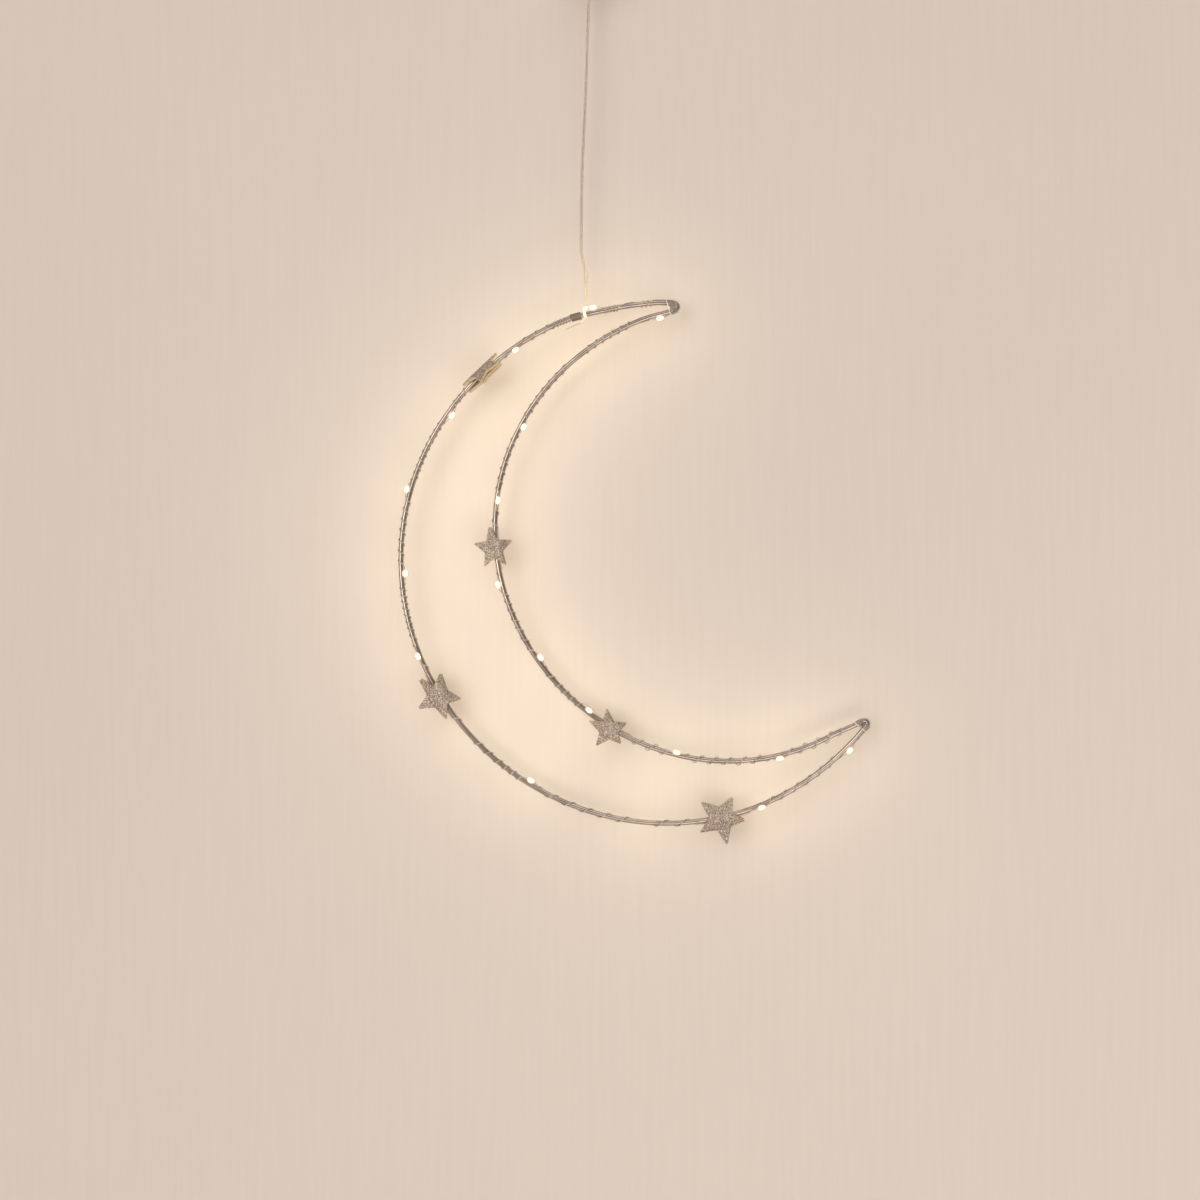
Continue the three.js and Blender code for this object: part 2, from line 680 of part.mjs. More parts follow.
function boxHousing() {
  const shell = solid(plate(roundedRectangle(boxWidth, boxHeight, boxCorner, boxMiddle), boxDepth, boxBack));
  const tabHalf = eyeRadius + eyeRim;
  const tabOutline = new THREE.Shape();
  tabOutline.moveTo(-tabHalf, boxTop - wall / 2);
  tabOutline.lineTo(tabHalf, boxTop - wall / 2);
  tabOutline.absarc(0, -eyeRadius, tabHalf, 0, Math.PI);
  const eye = new THREE.CylinderGeometry(eyeRadius, eyeRadius, 3 * eyeThickness, 48)
    .translate(0, boxBack, -eyeRadius);
  const tab = solid(plate(tabOutline, eyeThickness, boxBack)).subtract(solid(eye));
  const past = 1; // each cutter runs past the face that it opens
  const cellCut = solid(box(
    innerWidth, cavityBack - boxFront + past, cellTop - cellFloor,
    0, (cavityBack + boxFront - past) / 2, (cellTop + cellFloor) / 2,
  ));
  const switchCut = solid(box(
    innerWidth, cavityBack - boxFront + past, switchRoof - switchFloor,
    0, (cavityBack + boxFront - past) / 2, (switchRoof + switchFloor) / 2,
  ));
  const rebateHeight = boxTop + past - switchFloor;
  const rebate = solid(box(
    innerWidth, wall + seatGap + past, rebateHeight,
    0, boxFront + (wall + seatGap - past) / 2, switchFloor + rebateHeight / 2,
  ));
  const groove = solid(box(
    innerWidth + 2 * grooveDepth, grooveBack - grooveFront, rebateHeight,
    0, (grooveBack + grooveFront) / 2, switchFloor + rebateHeight / 2,
  ));
  const leadHole = solid(uprightCutter(bushingBore + seatGap, boxBottom - past, switchFloor + past));
  const post = solid(box(
    2.4, cavityBack + 0.2 - boardBack - seatGap, 2.4,
    0, (cavityBack + 0.2 + boardBack + seatGap) / 2, (switchRoof + switchFloor) / 2,
  ));
  const posts = post.translate([-boardWidth / 2 + 2, 0, 0]).add(post.translate([boardWidth / 2 - 2, 0, 0]));
  return geometryOf(shell.add(tab).subtract(cellCut).subtract(switchCut).subtract(rebate)
    .subtract(groove).subtract(leadHole).add(posts));
}

// Inside the switch space
const switchFace = coverFace + seatGap + 1.2;
const boardFront = switchFace + switchDepth + seatGap;
const boardBack = boardFront + boardThickness;
const boardWidth = innerWidth - 4;
const switchMiddle = (switchRoof + switchFloor) / 2;

add('battery_housing', boxHousing(), boxPlastic);

// The sliding cover and the fixed switch plate share one section, with a tongue down each side
function frontPlate(high, low) {
  const height = high - low;
  const middle = (high + low) / 2;
  const face = solid(box(innerWidth - 2 * slideGap, wall, height, 0, boxFront + wall / 2, middle));
  const tongues = solid(box(
    innerWidth + 2 * grooveDepth - 2 * slideGap, tongueThickness, height, 0, coverFace - wall / 2, middle,
  ));
  return face.add(tongues);
}

function batteryCover() {
  const low = plateTop + slideGap;
  let cover = frontPlate(boxTop, low);
  for (let rib = 0; rib < 4; rib++) {
    const z = low + 6 + rib * 2;
    cover = cover.add(solid(box(14, 1, 0.8, 0, boxFront, z)));
  }
  return geometryOf(cover);
}

function switchPlate() {
  const slotWidth = knobWidth + switchTravel + 2 * slideGap;
  const slot = box(
    slotWidth, 3 * wall, knobHeight + 2 * slideGap, 0, boxFront + wall / 2, switchMiddle,
  );
  return geometryOf(frontPlate(plateTop - slideGap, switchFloor + seatGap).subtract(solid(slot)));
}

add('battery_cover', batteryCover(), boxPlastic);
add('switch_plate', switchPlate(), boxPlastic);

const knobDepth = knobProud + wall + seatGap + 1.2 - seatGap;
add('switch_knob', box(
  knobWidth, knobDepth, knobHeight,
  switchTravel / 2, boxFront - knobProud + knobDepth / 2, switchMiddle,
), knobPlastic);
add('switch_body', box(
  switchWidth, switchDepth, switchHeight, 0, switchFace + switchDepth / 2, switchMiddle,
), steel);
add('circuit_board', box(
  boardWidth, boardThickness, switchRoof - switchFloor - 2, 0, (boardFront + boardBack) / 2, switchMiddle,
), board);

// Bushing that the lead comes out of
function bushing() {
  const under = boxBottom - seatGap;
  const flangeThickness = 1;
  return turned([
    [0, under - bushingLength], [bushingNose, under - bushingLength], [bushingBore, under - flangeThickness],
    [bushingFlange, under - flangeThickness], [bushingFlange, under],
    [bushingBore, under], [bushingBore, switchFloor], [0, switchFloor],
  ], 16);
}

add('lead_bushing', bushing(), clear);

// Cells and contacts: the left cell's nub is up, the right cell's nub is down
const cellX = cellRadius + seatGap;
const cellY = cavityBack - seatGap - cellRadius;

function cell() {
  const bodyTop = cellLength - cellNubHeight;
  return turned([
    [0, 0], [cellRadius - 0.6, 0], [cellRadius, 0.6],
    [cellRadius, bodyTop - 0.6], [cellRadius - 0.6, bodyTop],
    [cellNubRadius, bodyTop], [cellNubRadius, cellLength], [0, cellLength],
  ], 16);
}

const nubTop = linkFace - seatGap;
const terminalFace = cellFloor + seatGap + contactThickness;
add('battery_cell_1', cell(), cellSkin).position.set(-cellX, cellY, nubTop - cellLength);
const turnedCell = add('battery_cell_2', cell(), cellSkin);
turnedCell.rotation.x = Math.PI;
turnedCell.position.set(cellX, cellY, terminalFace + seatGap + cellLength);

function contact(width, x, low) {
  const depth = 9;
  return box(width, depth, contactThickness, x, cellY, low + contactThickness / 2);
}

const contactWidth = 11;
add('link_contact', contact(2 * cellX + contactWidth, 0, linkFace), steel);
add('negative_contact', contact(contactWidth, -cellX, cellFloor + seatGap), steel);
add('positive_contact', contact(contactWidth, cellX, cellFloor + seatGap), steel);

// A conical spring that stands on its contact at z = 0
function coneSpring() {
  const path = [];
  const steps = Math.round(springCurls * curlSteps);
  for (let step = 0; step <= steps; step++) {
    const share = step / steps;
    const angle = 2 * Math.PI * springCurls * share;
    const out = new THREE.Vector3(Math.cos(angle), Math.sin(angle), 0);
    const radius = springWide + (springNarrow - springWide) * share;
    const height = springWire + (springHeight - 2 * springWire) * share;
    path.push({ centre: out.clone().multiplyScalar(radius).setZ(height), out });
  }
  return withHeadings(path);
}

const springRings = coneSpring();
const springGap = leastGap(springRings, springWire, 4).toFixed(2);
console.log(`springs: ${2 * springCurls} curls, least gap ${springGap} mm`);
add('negative_spring', tube(springRings, springWire, wireSides), steel)
  .position.set(-cellX, cellY, terminalFace + seatGap);
const linkSpring = add('link_spring', tube(springRings, springWire, wireSides), steel);
linkSpring.rotation.x = Math.PI;
linkSpring.position.set(cellX, cellY, linkFace - seatGap);

export default light;
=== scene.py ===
import math
import random

import bmesh
import bpy
from bpy.props import FloatProperty, FloatVectorProperty, IntProperty, PointerProperty
from mathutils import Matrix, Vector


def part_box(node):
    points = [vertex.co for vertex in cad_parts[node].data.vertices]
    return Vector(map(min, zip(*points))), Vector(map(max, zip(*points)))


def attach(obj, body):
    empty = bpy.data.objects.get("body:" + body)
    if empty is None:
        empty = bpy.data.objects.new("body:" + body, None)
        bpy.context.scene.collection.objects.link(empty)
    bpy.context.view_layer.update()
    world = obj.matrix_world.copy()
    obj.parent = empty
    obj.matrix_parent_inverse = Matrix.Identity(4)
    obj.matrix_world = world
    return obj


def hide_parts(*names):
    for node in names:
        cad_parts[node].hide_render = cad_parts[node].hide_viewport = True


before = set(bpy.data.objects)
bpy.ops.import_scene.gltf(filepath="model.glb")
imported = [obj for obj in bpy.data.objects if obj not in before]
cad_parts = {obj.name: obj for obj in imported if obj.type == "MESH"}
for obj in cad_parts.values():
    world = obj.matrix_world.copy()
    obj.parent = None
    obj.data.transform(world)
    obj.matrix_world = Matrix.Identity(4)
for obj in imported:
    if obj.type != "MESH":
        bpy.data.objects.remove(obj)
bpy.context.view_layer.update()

bl_info = {
    "name": "Moon and Star Wall Light",
    "version": (1, 0, 0),
    "blender": (4, 5, 0),
    "location": "3D View > Sidebar > Moon Light",
    "description": "Dresses the moon and star wall light and sets its wall, lamps and camera",
    "category": "Object",
}

MM = 0.001

# Places that the pieces share, in millimetres. X is to the right, and Z up from the top of the hanging eye
PLANE = Vector((0, -13.1, 3.5))  # from there to the hanging eye's axis in the plane of the wall
LEAD_TOP = -87.2
LEAD_DROP = 183.3
LEAD_FOOT = -1.1
LEAD_SWAY = (
    (0, 1.2), (0.06, 1.1), (0.16, 0.6), (0.28, 0), (0.4, -0.9), (0.5, -1.8), (0.6, -2.5), (0.7, -2.8),
    (0.8, -2.95), (0.84, -2.8), (0.87, -1.6), (0.9, -0.3), (0.94, 0), (1, 0),
)
TIE_ANGLE = 107.5
TIE_LEAN = 0.6
TIE_RISE = 5.2
ROD_RADIUS = 1.5
SEAT_GAP = 0.3
OUTER_RADIUS = 150
OUTER_BOW = (0.9, 50)
INNER_BOW = (1.0, 47)
CRESCENT_WIDTH = (58.2, 206.2)
SPLICE = {"step": 0.85, "bend": 3.5, "fade": 30}
TIP_EASE = 20
BEND_RADIUS = 1.7
UPPER_TIP = {"angle": 87.5, "inset": 3.3, "heading": 5, "turn": 152, "inner_inset": 3.9}
LOWER_TIP = {"angle": 321.2, "inset": 1.4, "heading": 39.5, "turn": 163, "inner_inset": 6.5}


def placed(x, z, y=0.0):
    """A point of the crescent's plane, or y millimetres behind it, in the row frame and in metres."""
    return (Vector((x, y, z)) + PLANE) * MM


# Settings that a user would change
def size(name, description, default, low=0.0, high=1.0):
    """A length in metres, shown in scene units."""
    return FloatProperty(name=name, description=description, default=default, min=low, max=high,
                         unit="LENGTH", precision=5)


def colour(name, description, default):
    """A linear colour."""
    return FloatVectorProperty(name=name, description=description, default=default, size=3, min=0, max=1,
                               subtype="COLOR")


def share(name, description, default, low=0.0, high=1.0):
    """A plain number between two limits."""
    return FloatProperty(name=name, description=description, default=default, min=low, max=high)


ROD_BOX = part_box("outer_rod")


class MoonRodSettings(bpy.types.PropertyGroup):
    """Sizes and colours of the crescent's rod and of the wire round it."""
    rod_diameter: size("Rod Diameter", "Thickness of the bent rod", ROD_BOX[1].y - ROD_BOX[0].y)
    strand_diameter: size("Strand Diameter", "Thickness of each of the string's two strands", 0.00036)
    rod_colour: colour("Rod Colour", "Satin metal of the rod", (0.54, 0.45, 0.385))
    strand_colour: colour("Strand Colour", "Bright metal of the string's strands", (0.58, 0.505, 0.43))


class MoonDropSettings(bpy.types.PropertyGroup):
    """Sizes, colour and brightness of the lit drops."""
    drop_length: size("Drop Length", "Length of a resin drop along the string", 0.005)
    drop_width: size("Drop Width", "Width of a resin drop", 0.0024)
    glow: share("Glow", "Brightness of a lit drop", 1.9, 0.0, 100.0)
    glow_colour: colour("Glow Colour", "Warm white light of a drop", (1.0, 0.91, 0.64))
    halo_power: FloatProperty(name="Halo Power", description="Power that each drop casts on the wall",
                              default=0.0098, min=0.0, unit="POWER", precision=4)


class MoonStarSettings(bpy.types.PropertyGroup):
    """Sizes and colours of the glitter stars."""
    layer: size("Layer", "Thickness of one foam layer", 0.0015)
    flake_size: size("Flake Size", "Width of a glitter flake", 0.00046)
    flake_density: share("Flake Density", "Glitter flakes on a square metre", 4.0e6, 0.0, 1e7)
    glitter_colour: colour("Glitter Colour", "Middle tone of the glitter", (0.43, 0.34, 0.278))
    foam_colour: colour("Foam Colour", "Cut edge of the foam", (0.60, 0.44, 0.28))
    seed: IntProperty(name="Seed", description="Start of the glitter's random order", default=7, min=0)


class MoonLeadSettings(bpy.types.PropertyGroup):
    """Sizes and colour of the lead."""
    strand_diameter: size("Strand Diameter", "Thickness of one strand of the twin lead", 0.0009)
    lead_colour: colour("Lead Colour", "Clear skin of the lead, tinted by its core", (0.78, 0.66, 0.545))


class MoonBoxSettings(bpy.types.PropertyGroup):
    """Colours and edges of the battery box."""
    edge: size("Edge", "Rounding of the moulded edges", 0.0004)
    box_colour: colour("Box Colour", "Moulded plastic of the box", (0.80, 0.76, 0.69))
    knob_colour: colour("Knob Colour", "Moulded plastic of the switch knob", (0.045, 0.042, 0.04))


class MoonStageSettings(bpy.types.PropertyGroup):
    """Wall, floor, lamps and camera."""
    wall_colour: colour("Wall Colour", "Warm paint of the wall", (0.745, 0.638, 0.562))
    floor_colour: colour("Floor Colour", "Pale floor below the light", (0.78, 0.74, 0.69))
    room_light: share("Room Light", "Strength of the light from all round", 0.305, 0.0, 10.0)
    window_light: share("Window Light", "Strength of the soft light from the left", 3.35, 0.0, 10.0)
    ceiling_light: share("Ceiling Light", "Strength of the soft light from above", 1.1, 0.0, 10.0)
    fill_power: FloatProperty(name="Fill Power", description="Power of the low lamp on the right",
                              default=3.5, unit="POWER")
    lens: FloatProperty(name="Lens", description="Focal length of the camera in millimetres", default=50.0)


# The crescent's centreline
def round_point(centre, radius, angle):
    """The point at an angle in degrees on a circle."""
    turn = math.radians(angle)
    return Vector((centre.x + radius * math.cos(turn), centre.y + radius * math.sin(turn)))


def splice_aside(angle):
    """How far the outer rod lies outside its arc beside its splice under the tie, in millimetres."""
    past = angle - TIE_ANGLE
    return SPLICE["step"] * math.tanh(past / SPLICE["bend"]) * math.exp(-((past / SPLICE["fade"]) ** 2))


def bent_arc(centre, radius, bow, start, stop, step=0.3, aside=None):
    """Points of an arc whose radius swells and dips a little three times round."""
    swell, swell_angle = bow
    count = max(8, round(math.radians(abs(stop - start)) * radius / step))
    points = []
    for i in range(count + 1):
        angle = start + (stop - start) * i / count
        reach = radius + swell * math.cos(3 * math.radians(angle - swell_angle))
        if aside:
            reach += aside(angle)
        points.append(round_point(centre, reach, angle))
    return points


def circle_through(a, b, c):
    """The centre and radius of the circle through three points."""
    d = 2 * (a.x * (b.y - c.y) + b.x * (c.y - a.y) + c.x * (a.y - b.y))
    aa, bb, cc = a.length_squared, b.length_squared, c.length_squared
    centre = Vector((
        (aa * (b.y - c.y) + bb * (c.y - a.y) + cc * (a.y - b.y)) / d,
        (aa * (c.x - b.x) + bb * (a.x - c.x) + cc * (b.x - a.x)) / d,
    ))
    return centre, (centre - a).length


def angle_from(centre, point):
    """The angle in degrees of a point round a centre, from 0 to 360."""
    return math.degrees(math.atan2(point.y - centre.y, point.x - centre.x)) % 360


def eased_join(before, after, count=64):
    """Points of a smooth join from the end of one list of points to the start of the next."""
    start, end = before[-1], after[0]
    reach = 0.36 * (end - start).length
    leave = (before[-1] - before[-2]).normalized() * reach
    arrive = (after[1] - after[0]).normalized() * reach
    controls = (start, start + leave, end - arrive, end)
    points = []
    for i in range(count + 1):
        t = i / count
        weights = ((1 - t) ** 3, 3 * t * (1 - t) ** 2, 3 * t * t * (1 - t), t ** 3)
        points.append(sum((w * p for w, p in zip(weights, controls)), Vector((0, 0))))
    return points


class Loop:
    """The rod's centreline, anticlockwise from the top of the outer arc, by length in millimetres."""

    def __init__(self):
        tie_radius = OUTER_RADIUS + OUTER_BOW[0] * math.cos(3 * math.radians(TIE_ANGLE - OUTER_BOW[1]))
        tie = Vector((LEAD_FOOT - TIE_LEAN, LEAD_TOP - LEAD_DROP - SEAT_GAP - TIE_RISE))
        centre = tie - round_point(Vector((0, 0)), tie_radius, TIE_ANGLE)

        def inset(angle, amount):
            return round_point(centre, OUTER_RADIUS - amount, angle)

        inner_centre, inner_radius = circle_through(
            inset(UPPER_TIP["angle"], UPPER_TIP["inner_inset"]),
            inset(CRESCENT_WIDTH[1], CRESCENT_WIDTH[0]),
            inset(LOWER_TIP["angle"], LOWER_TIP["inner_inset"]),
        )
        upper, lower = (inset(tip["angle"], tip["inset"]) for tip in (UPPER_TIP, LOWER_TIP))
        ease_outer = math.degrees(TIP_EASE / OUTER_RADIUS)
        ease_inner = math.degrees(TIP_EASE / inner_radius)
        self.angles = {
            "outer": (UPPER_TIP["angle"] + ease_outer, LOWER_TIP["angle"] - ease_outer),
            "inner": (
                angle_from(inner_centre, lower) - ease_inner,
                angle_from(inner_centre, upper) + ease_inner,
            ),
        }

        def hairpin(bend, tip):
            half = tip["turn"] / 2
            return bent_arc(bend, BEND_RADIUS, (0, 0), tip["heading"] - half, tip["heading"] + half, 0.15)

        outer = bent_arc(centre, OUTER_RADIUS, OUTER_BOW, *self.angles["outer"], aside=splice_aside)
        inner = bent_arc(inner_centre, inner_radius, INNER_BOW, *self.angles["inner"])
        upper_bend, lower_bend = hairpin(upper, UPPER_TIP), hairpin(lower, LOWER_TIP)
        self.bends = {"upper": (upper, UPPER_TIP["heading"]), "lower": (lower, LOWER_TIP["heading"])}
        parts = {
            "outer": outer,
            "to_lower": eased_join(outer, lower_bend),
            "lower_bend": lower_bend,
            "from_lower": eased_join(lower_bend, inner),
            "inner": inner,
            "to_upper": eased_join(inner, upper_bend),
            "upper_bend": upper_bend,
            "from_upper": eased_join(upper_bend, outer),
        }
        self.points, self.lengths, self.starts, self.ends = [], [], {}, {}
        reached = 0.0
        for name, points in parts.items():
            self.starts[name] = reached
            for point in points:
                if self.points:
                    past = (point - self.points[-1]).length
                    if past < 1e-6:
                        continue
                    reached += past
                self.points.append(point)
                self.lengths.append(reached)
            self.ends[name] = reached
        self.points.pop()
        self.lengths.pop()
        self.length = reached
        count = len(self.points)
        self.headings = [
            (self.points[(i + 1) % count] - self.points[i - 1]).normalized() for i in range(count)
        ]

    def at(self, along):
        """The centre, the heading and the way out of the loop, as points (x, z) in millimetres."""
        along %= self.length
        low, high = 0, len(self.points)
        while high - low > 1:
            middle = (low + high) // 2
            if self.lengths[middle] <= along:
                low = middle
            else:
                high = middle
        after = (low + 1) % len(self.points)
        end = self.lengths[after] if after else self.length
        part = (along - self.lengths[low]) / (end - self.lengths[low])
        centre = self.points[low].lerp(self.points[after], part)
        heading = self.headings[low].lerp(self.headings[after], part).normalized()
        return centre, heading, Vector((heading.y, -heading.x))

    def along_outer(self, angle):
        """The length along the loop at an angle on the outer arc."""
        return self.along_arc("outer", angle)

    def along_inner(self, angle):
        """The length along the loop at an angle on the inner arc."""
        return self.along_arc("inner", angle)

    def along_arc(self, arc, angle):
        """The length along the loop at an angle on either arc."""
        first, last = self.angles[arc]
        start, end = self.starts[arc], self.ends[arc]
        return start + (end - start) * (angle - first) / (last - first)

    def point(self, along, side, distance):
        """A point off the rod's axis, on a side in degrees: 0 out, 90 front, 180 in, 270 back."""
        centre, _, out = self.at(along)
        turn = math.radians(side)
        place = centre + out * distance * math.cos(turn)
        return placed(place.x, place.y, -distance * math.sin(turn))


LOOP = Loop()
OUTSIDE, INSIDE = 0, 180
OUTER_BACK, INNER_BACK = 274, 266  # behind the rod, where it hides a drop from the front
BEADS = sorted(  # where each drop sits, and on which side of the rod in degrees
    [(LOOP.along_outer(angle), side) for angle, side in (
        (124.8, 125), (145.2, 155), (164.2, 50), (182.7, 140), (201.2, 75), (221, OUTER_BACK), (238.7, 140),
        (265, OUTER_BACK), (291.7, 70), (314.6, 45),
    )]
    + [(LOOP.along_inner(angle), side) for angle, side in (
        (283.3, 120), (257.3, 60), (232.6, 65), (214.4, 45), (193.4, 140), (172.4, 75), (152.7, 50),
        (130.5, INNER_BACK), (107.1, 35),
    )]
    + [(LOOP.along_outer(105.4) + LOOP.length, OUTSIDE)]
)
STRETCHES = sorted(  # where each starts, its turns' pitch, and how far the turns hang off the rod
    [(LOOP.along_outer(angle), pitch, slack) for angle, pitch, slack in (
        (107, 1.9, 0.2), (114.5, 6, 0.3), (117, 8, 0.3), (136, 4.4, 0.3), (162, 5.8, 0.4), (184, 3.8, 0.7),
        (196, 6, 0.4), (214, 7.5, 0.3), (231, 5, 0.5), (237, 11, 0.3), (286, 8, 0.6),
    )]
    + [(LOOP.along_inner(angle), pitch, slack) for angle, pitch, slack in (
        (306, 8.5, -0.7), (284, 8, -0.4), (258, 9, -0.6), (237, 5, 0.4), (222, 7.5, 0.3), (205, 5.8, 0.3),
        (181, 6.2, 0.3), (153, 6, 0.3), (134.5, 14, 0), (128, 5.6, 0.6), (114.5, 26, 0),
    )]
    + [(LOOP.starts["from_upper"] + 2, 2.6, 0.2), (LOOP.length, 26, 0),
       (LOOP.along_outer(100.2) + LOOP.length, 1.7, 0.2)]
)
STARS = (  # points: the turn of each in degrees and its share of the radius, from tip on anticlockwise
    {"along": LOOP.along_outer(133.4), "radius": 13.6, "offset": 0.4, "tip": 5, "tilt": 67, "back_turn": 3,
     "points": ((-6, 1.03), (-18, 1.0), (8, 0.68), (0, 1.0), (0, 1.0))},
    {"along": LOOP.along_outer(211.1), "radius": 13.3, "offset": 1.3, "tip": 71, "tilt": 0, "back_turn": -4,
     "points": ((16, 1.0), (-4, 1.11), (-4, 0.99), (3, 1.01), (-2, 0.94))},
    {"along": LOOP.along_outer(282.8), "radius": 14.1, "offset": 1.25, "tip": 67.8, "tilt": 0, "back_turn": 3,
     "points": ((-5, 0.97), (0, 1.09), (-2, 1.04), (-4, 1.03), (1, 0.91))},
    {"along": LOOP.along_inner(239.7), "radius": 11.3, "offset": -1.3, "tip": 91, "tilt": 0, "back_turn": 3,
     "points": ((5, 1.09), (-9, 1.13), (-7, 1.03), (2, 0.86), (2, 0.93))},
    {"along": LOOP.along_inner(184.4), "radius": 11.6, "offset": -1.2, "tip": 97, "tilt": 0, "back_turn": -3,
     "points": ((4, 1.09), (-2, 0.97), (4, 0.97), (-4, 1.0), (0, 0.97))},
)
STAR_WAIST = 0.49
TIE_ALONG = LOOP.along_outer(TIE_ANGLE)


# Meshes
def new_object(name, mesh):
    """An object in the scene, at the origin."""
    thing = bpy.data.objects.new(name, mesh)
    bpy.context.scene.collection.objects.link(thing)
    return thing


def mesh_object(name, points, faces, smooth=True):
    """An object from points and faces."""
    mesh = bpy.data.meshes.new(name)
    mesh.from_pydata([tuple(point) for point in points], [], faces)
    mesh.validate()
    mesh.update()
    mesh.shade_smooth() if smooth else mesh.shade_flat()
    return new_object(name, mesh)


def curve_object(name, lines, closed=False):
    """A curve object with one straight-sided spline for each list of points."""
    data = bpy.data.curves.new(name, "CURVE")
    data.dimensions = "3D"
    data.twist_mode = "MINIMUM"
    for points in lines:
        spline = data.splines.new("POLY")
        spline.points.add(len(points) - 1)
        for place, point in zip(spline.points, points):
            place.co = (*point, 1)
        spline.use_cyclic_u = closed
    return new_object(name, data)


def cleaned(thing, distance=1e-7, flat=None):
    """Merges doubles, joins faces that lie within an angle in degrees, and turns the faces outwards."""
    work = bmesh.new()
    work.from_mesh(thing.data)
    bmesh.ops.remove_doubles(work, verts=work.verts, dist=distance)
    if flat:
        bmesh.ops.dissolve_limit(work, angle_limit=math.radians(flat), verts=work.verts, edges=work.edges)
    bmesh.ops.recalc_face_normals(work, faces=work.faces)
    work.to_mesh(thing.data)
    work.free()
    return thing


def band(low, high):
    """The faces between two rings of point numbers, of which one may be a single point."""
    count = max(len(low), len(high))
    faces = []
    for i in range(count):
        after = (i + 1) % count
        if len(low) == 1:
            faces.append((low[0], high[after], high[i]))
        elif len(high) == 1:
            faces.append((low[i], low[after], high[0]))
        else:
            faces.append((low[i], low[after], high[after], high[i]))
    return faces


def lathe(profile, centre, axis, steps):
    """Points and faces of a closed turned piece, from (radius, height) pairs from axis to axis."""
    turn = Vector(axis).to_track_quat("Z", "Y")
    points, faces, rings = [], [], []
    for radius, height in profile:
        if radius < 1e-9:
            rings.append([len(points)])
            points.append(centre + turn @ Vector((0, 0, height)))
            continue
        rings.append(list(range(len(points), len(points) + steps)))
        for step in range(steps):
            angle = 2 * math.pi * step / steps
            spot = Vector((radius * math.cos(angle), radius * math.sin(angle), height))
            points.append(centre + turn @ spot)
    for low, high in zip(rings, rings[1:]):
        faces.extend(band(low, high))
    return points, faces


def swept(path, radius, sides):
    """Points and faces of a closed tube along a path. radius may be one number or one for each point."""
    count = len(path)
    radii = radius if isinstance(radius, (list, tuple)) else [radius] * count
    points, faces = [], []
    across = None
    for i, centre in enumerate(path):
        heading = (path[min(i + 1, count - 1)] - path[max(i - 1, 0)]).normalized()
        if across is None:
            across = heading.orthogonal()
        across = (across - heading * across.dot(heading)).normalized()
        beside = heading.cross(across)
        for side in range(sides):
            angle = 2 * math.pi * side / sides
            points.append(centre + across * radii[i] * math.cos(angle) + beside * radii[i] * math.sin(angle))
    rings = [range(i * sides, (i + 1) * sides) for i in range(count)]
    for low, high in zip(rings, rings[1:]):
        faces.extend(band(low, high))
    faces.append(tuple(reversed(rings[0])))
    faces.append(tuple(rings[-1]))
    return points, faces


def merged(*shapes):
    """Several (points, faces) pairs as one."""
    points, faces = [], []
    for more_points, more_faces in shapes:
        start = len(points)
        points.extend(more_points)
        faces.extend(tuple(start + corner for corner in face) for face in more_faces)
    return points, faces


def smooth_route(places, count):
    """Points of one smooth curve through places, evenly spaced by place."""
    padded = [places[0] * 2 - places[1], *places, places[-1] * 2 - places[-2]]
    points = []
    for i in range(count):
        t = i / (count - 1) * (len(places) - 1)
        k = min(int(t), len(places) - 2)
        a, b, c, d = padded[k:k + 4]
        t -= k
        points.append(0.5 * ((2 * b) + (c - a) * t + (2 * a - 5 * b + 4 * c - d) * t ** 2
                             + (3 * b - 3 * c + d - a) * t ** 3))
    return points


# Geometry node trees
def new_tree(name, inputs):
    """An empty geometry node tree with a geometry in and out and the named inputs."""
    tree = bpy.data.node_groups.new(name, "GeometryNodeTree")
    face = tree.interface
    face.new_socket("Geometry", in_out="INPUT", socket_type="NodeSocketGeometry")
    for label, kind, default in inputs:
        socket = face.new_socket(label, in_out="INPUT", socket_type=kind)
        if default is not None:
            socket.default_value = default
    face.new_socket("Geometry", in_out="OUTPUT", socket_type="NodeSocketGeometry")
    return tree


def add_node(tree, kind, values=(), **settings):
    """A node with its settings, and the values of its inputs by name or number."""
    node = tree.nodes.new(kind)
    for key, value in settings.items():
        setattr(node, key, value)
    for key, value in dict(values).items():
        node.inputs[key].default_value = value
    return node


def wired(tree, *rows):
    """Links nodes, from (node, output, node, input) rows."""
    for source, output, target, entry in rows:
        tree.links.new(source.outputs[output], target.inputs[entry])


def finished_tree(tree, start, last, output):
    """Ends a tree in Realize Instances and Set Material."""
    realize = add_node(tree, "GeometryNodeRealizeInstances")
    paint = add_node(tree, "GeometryNodeSetMaterial")
    wired(
        tree,
        (last, output, realize, 0),
        (realize, 0, paint, "Geometry"),
        (start, "Material", paint, "Material"),
        (paint, 0, add_node(tree, "NodeGroupOutput"), 0),
    )
    return tree


def sweep_tree():
    """Makes a round wire along every spline."""
    tree = new_tree("Round Wire", (
        ("Radius", "NodeSocketFloat", 0.001), ("Sides", "NodeSocketInt", 8),
        ("Material", "NodeSocketMaterial", None),
    ))
    start = add_node(tree, "NodeGroupInput")
    ring = add_node(tree, "GeometryNodeCurvePrimitiveCircle")
    tube = add_node(tree, "GeometryNodeCurveToMesh", {"Fill Caps": True})
    smooth = add_node(tree, "GeometryNodeSetShadeSmooth")
    wired(
        tree,
        (start, "Radius", ring, "Radius"),
        (start, "Sides", ring, "Resolution"),
        (start, "Geometry", tube, "Curve"),
        (ring, "Curve", tube, "Profile Curve"),
        (tube, "Mesh", smooth, "Geometry"),
    )
    return finished_tree(tree, start, smooth, "Geometry")


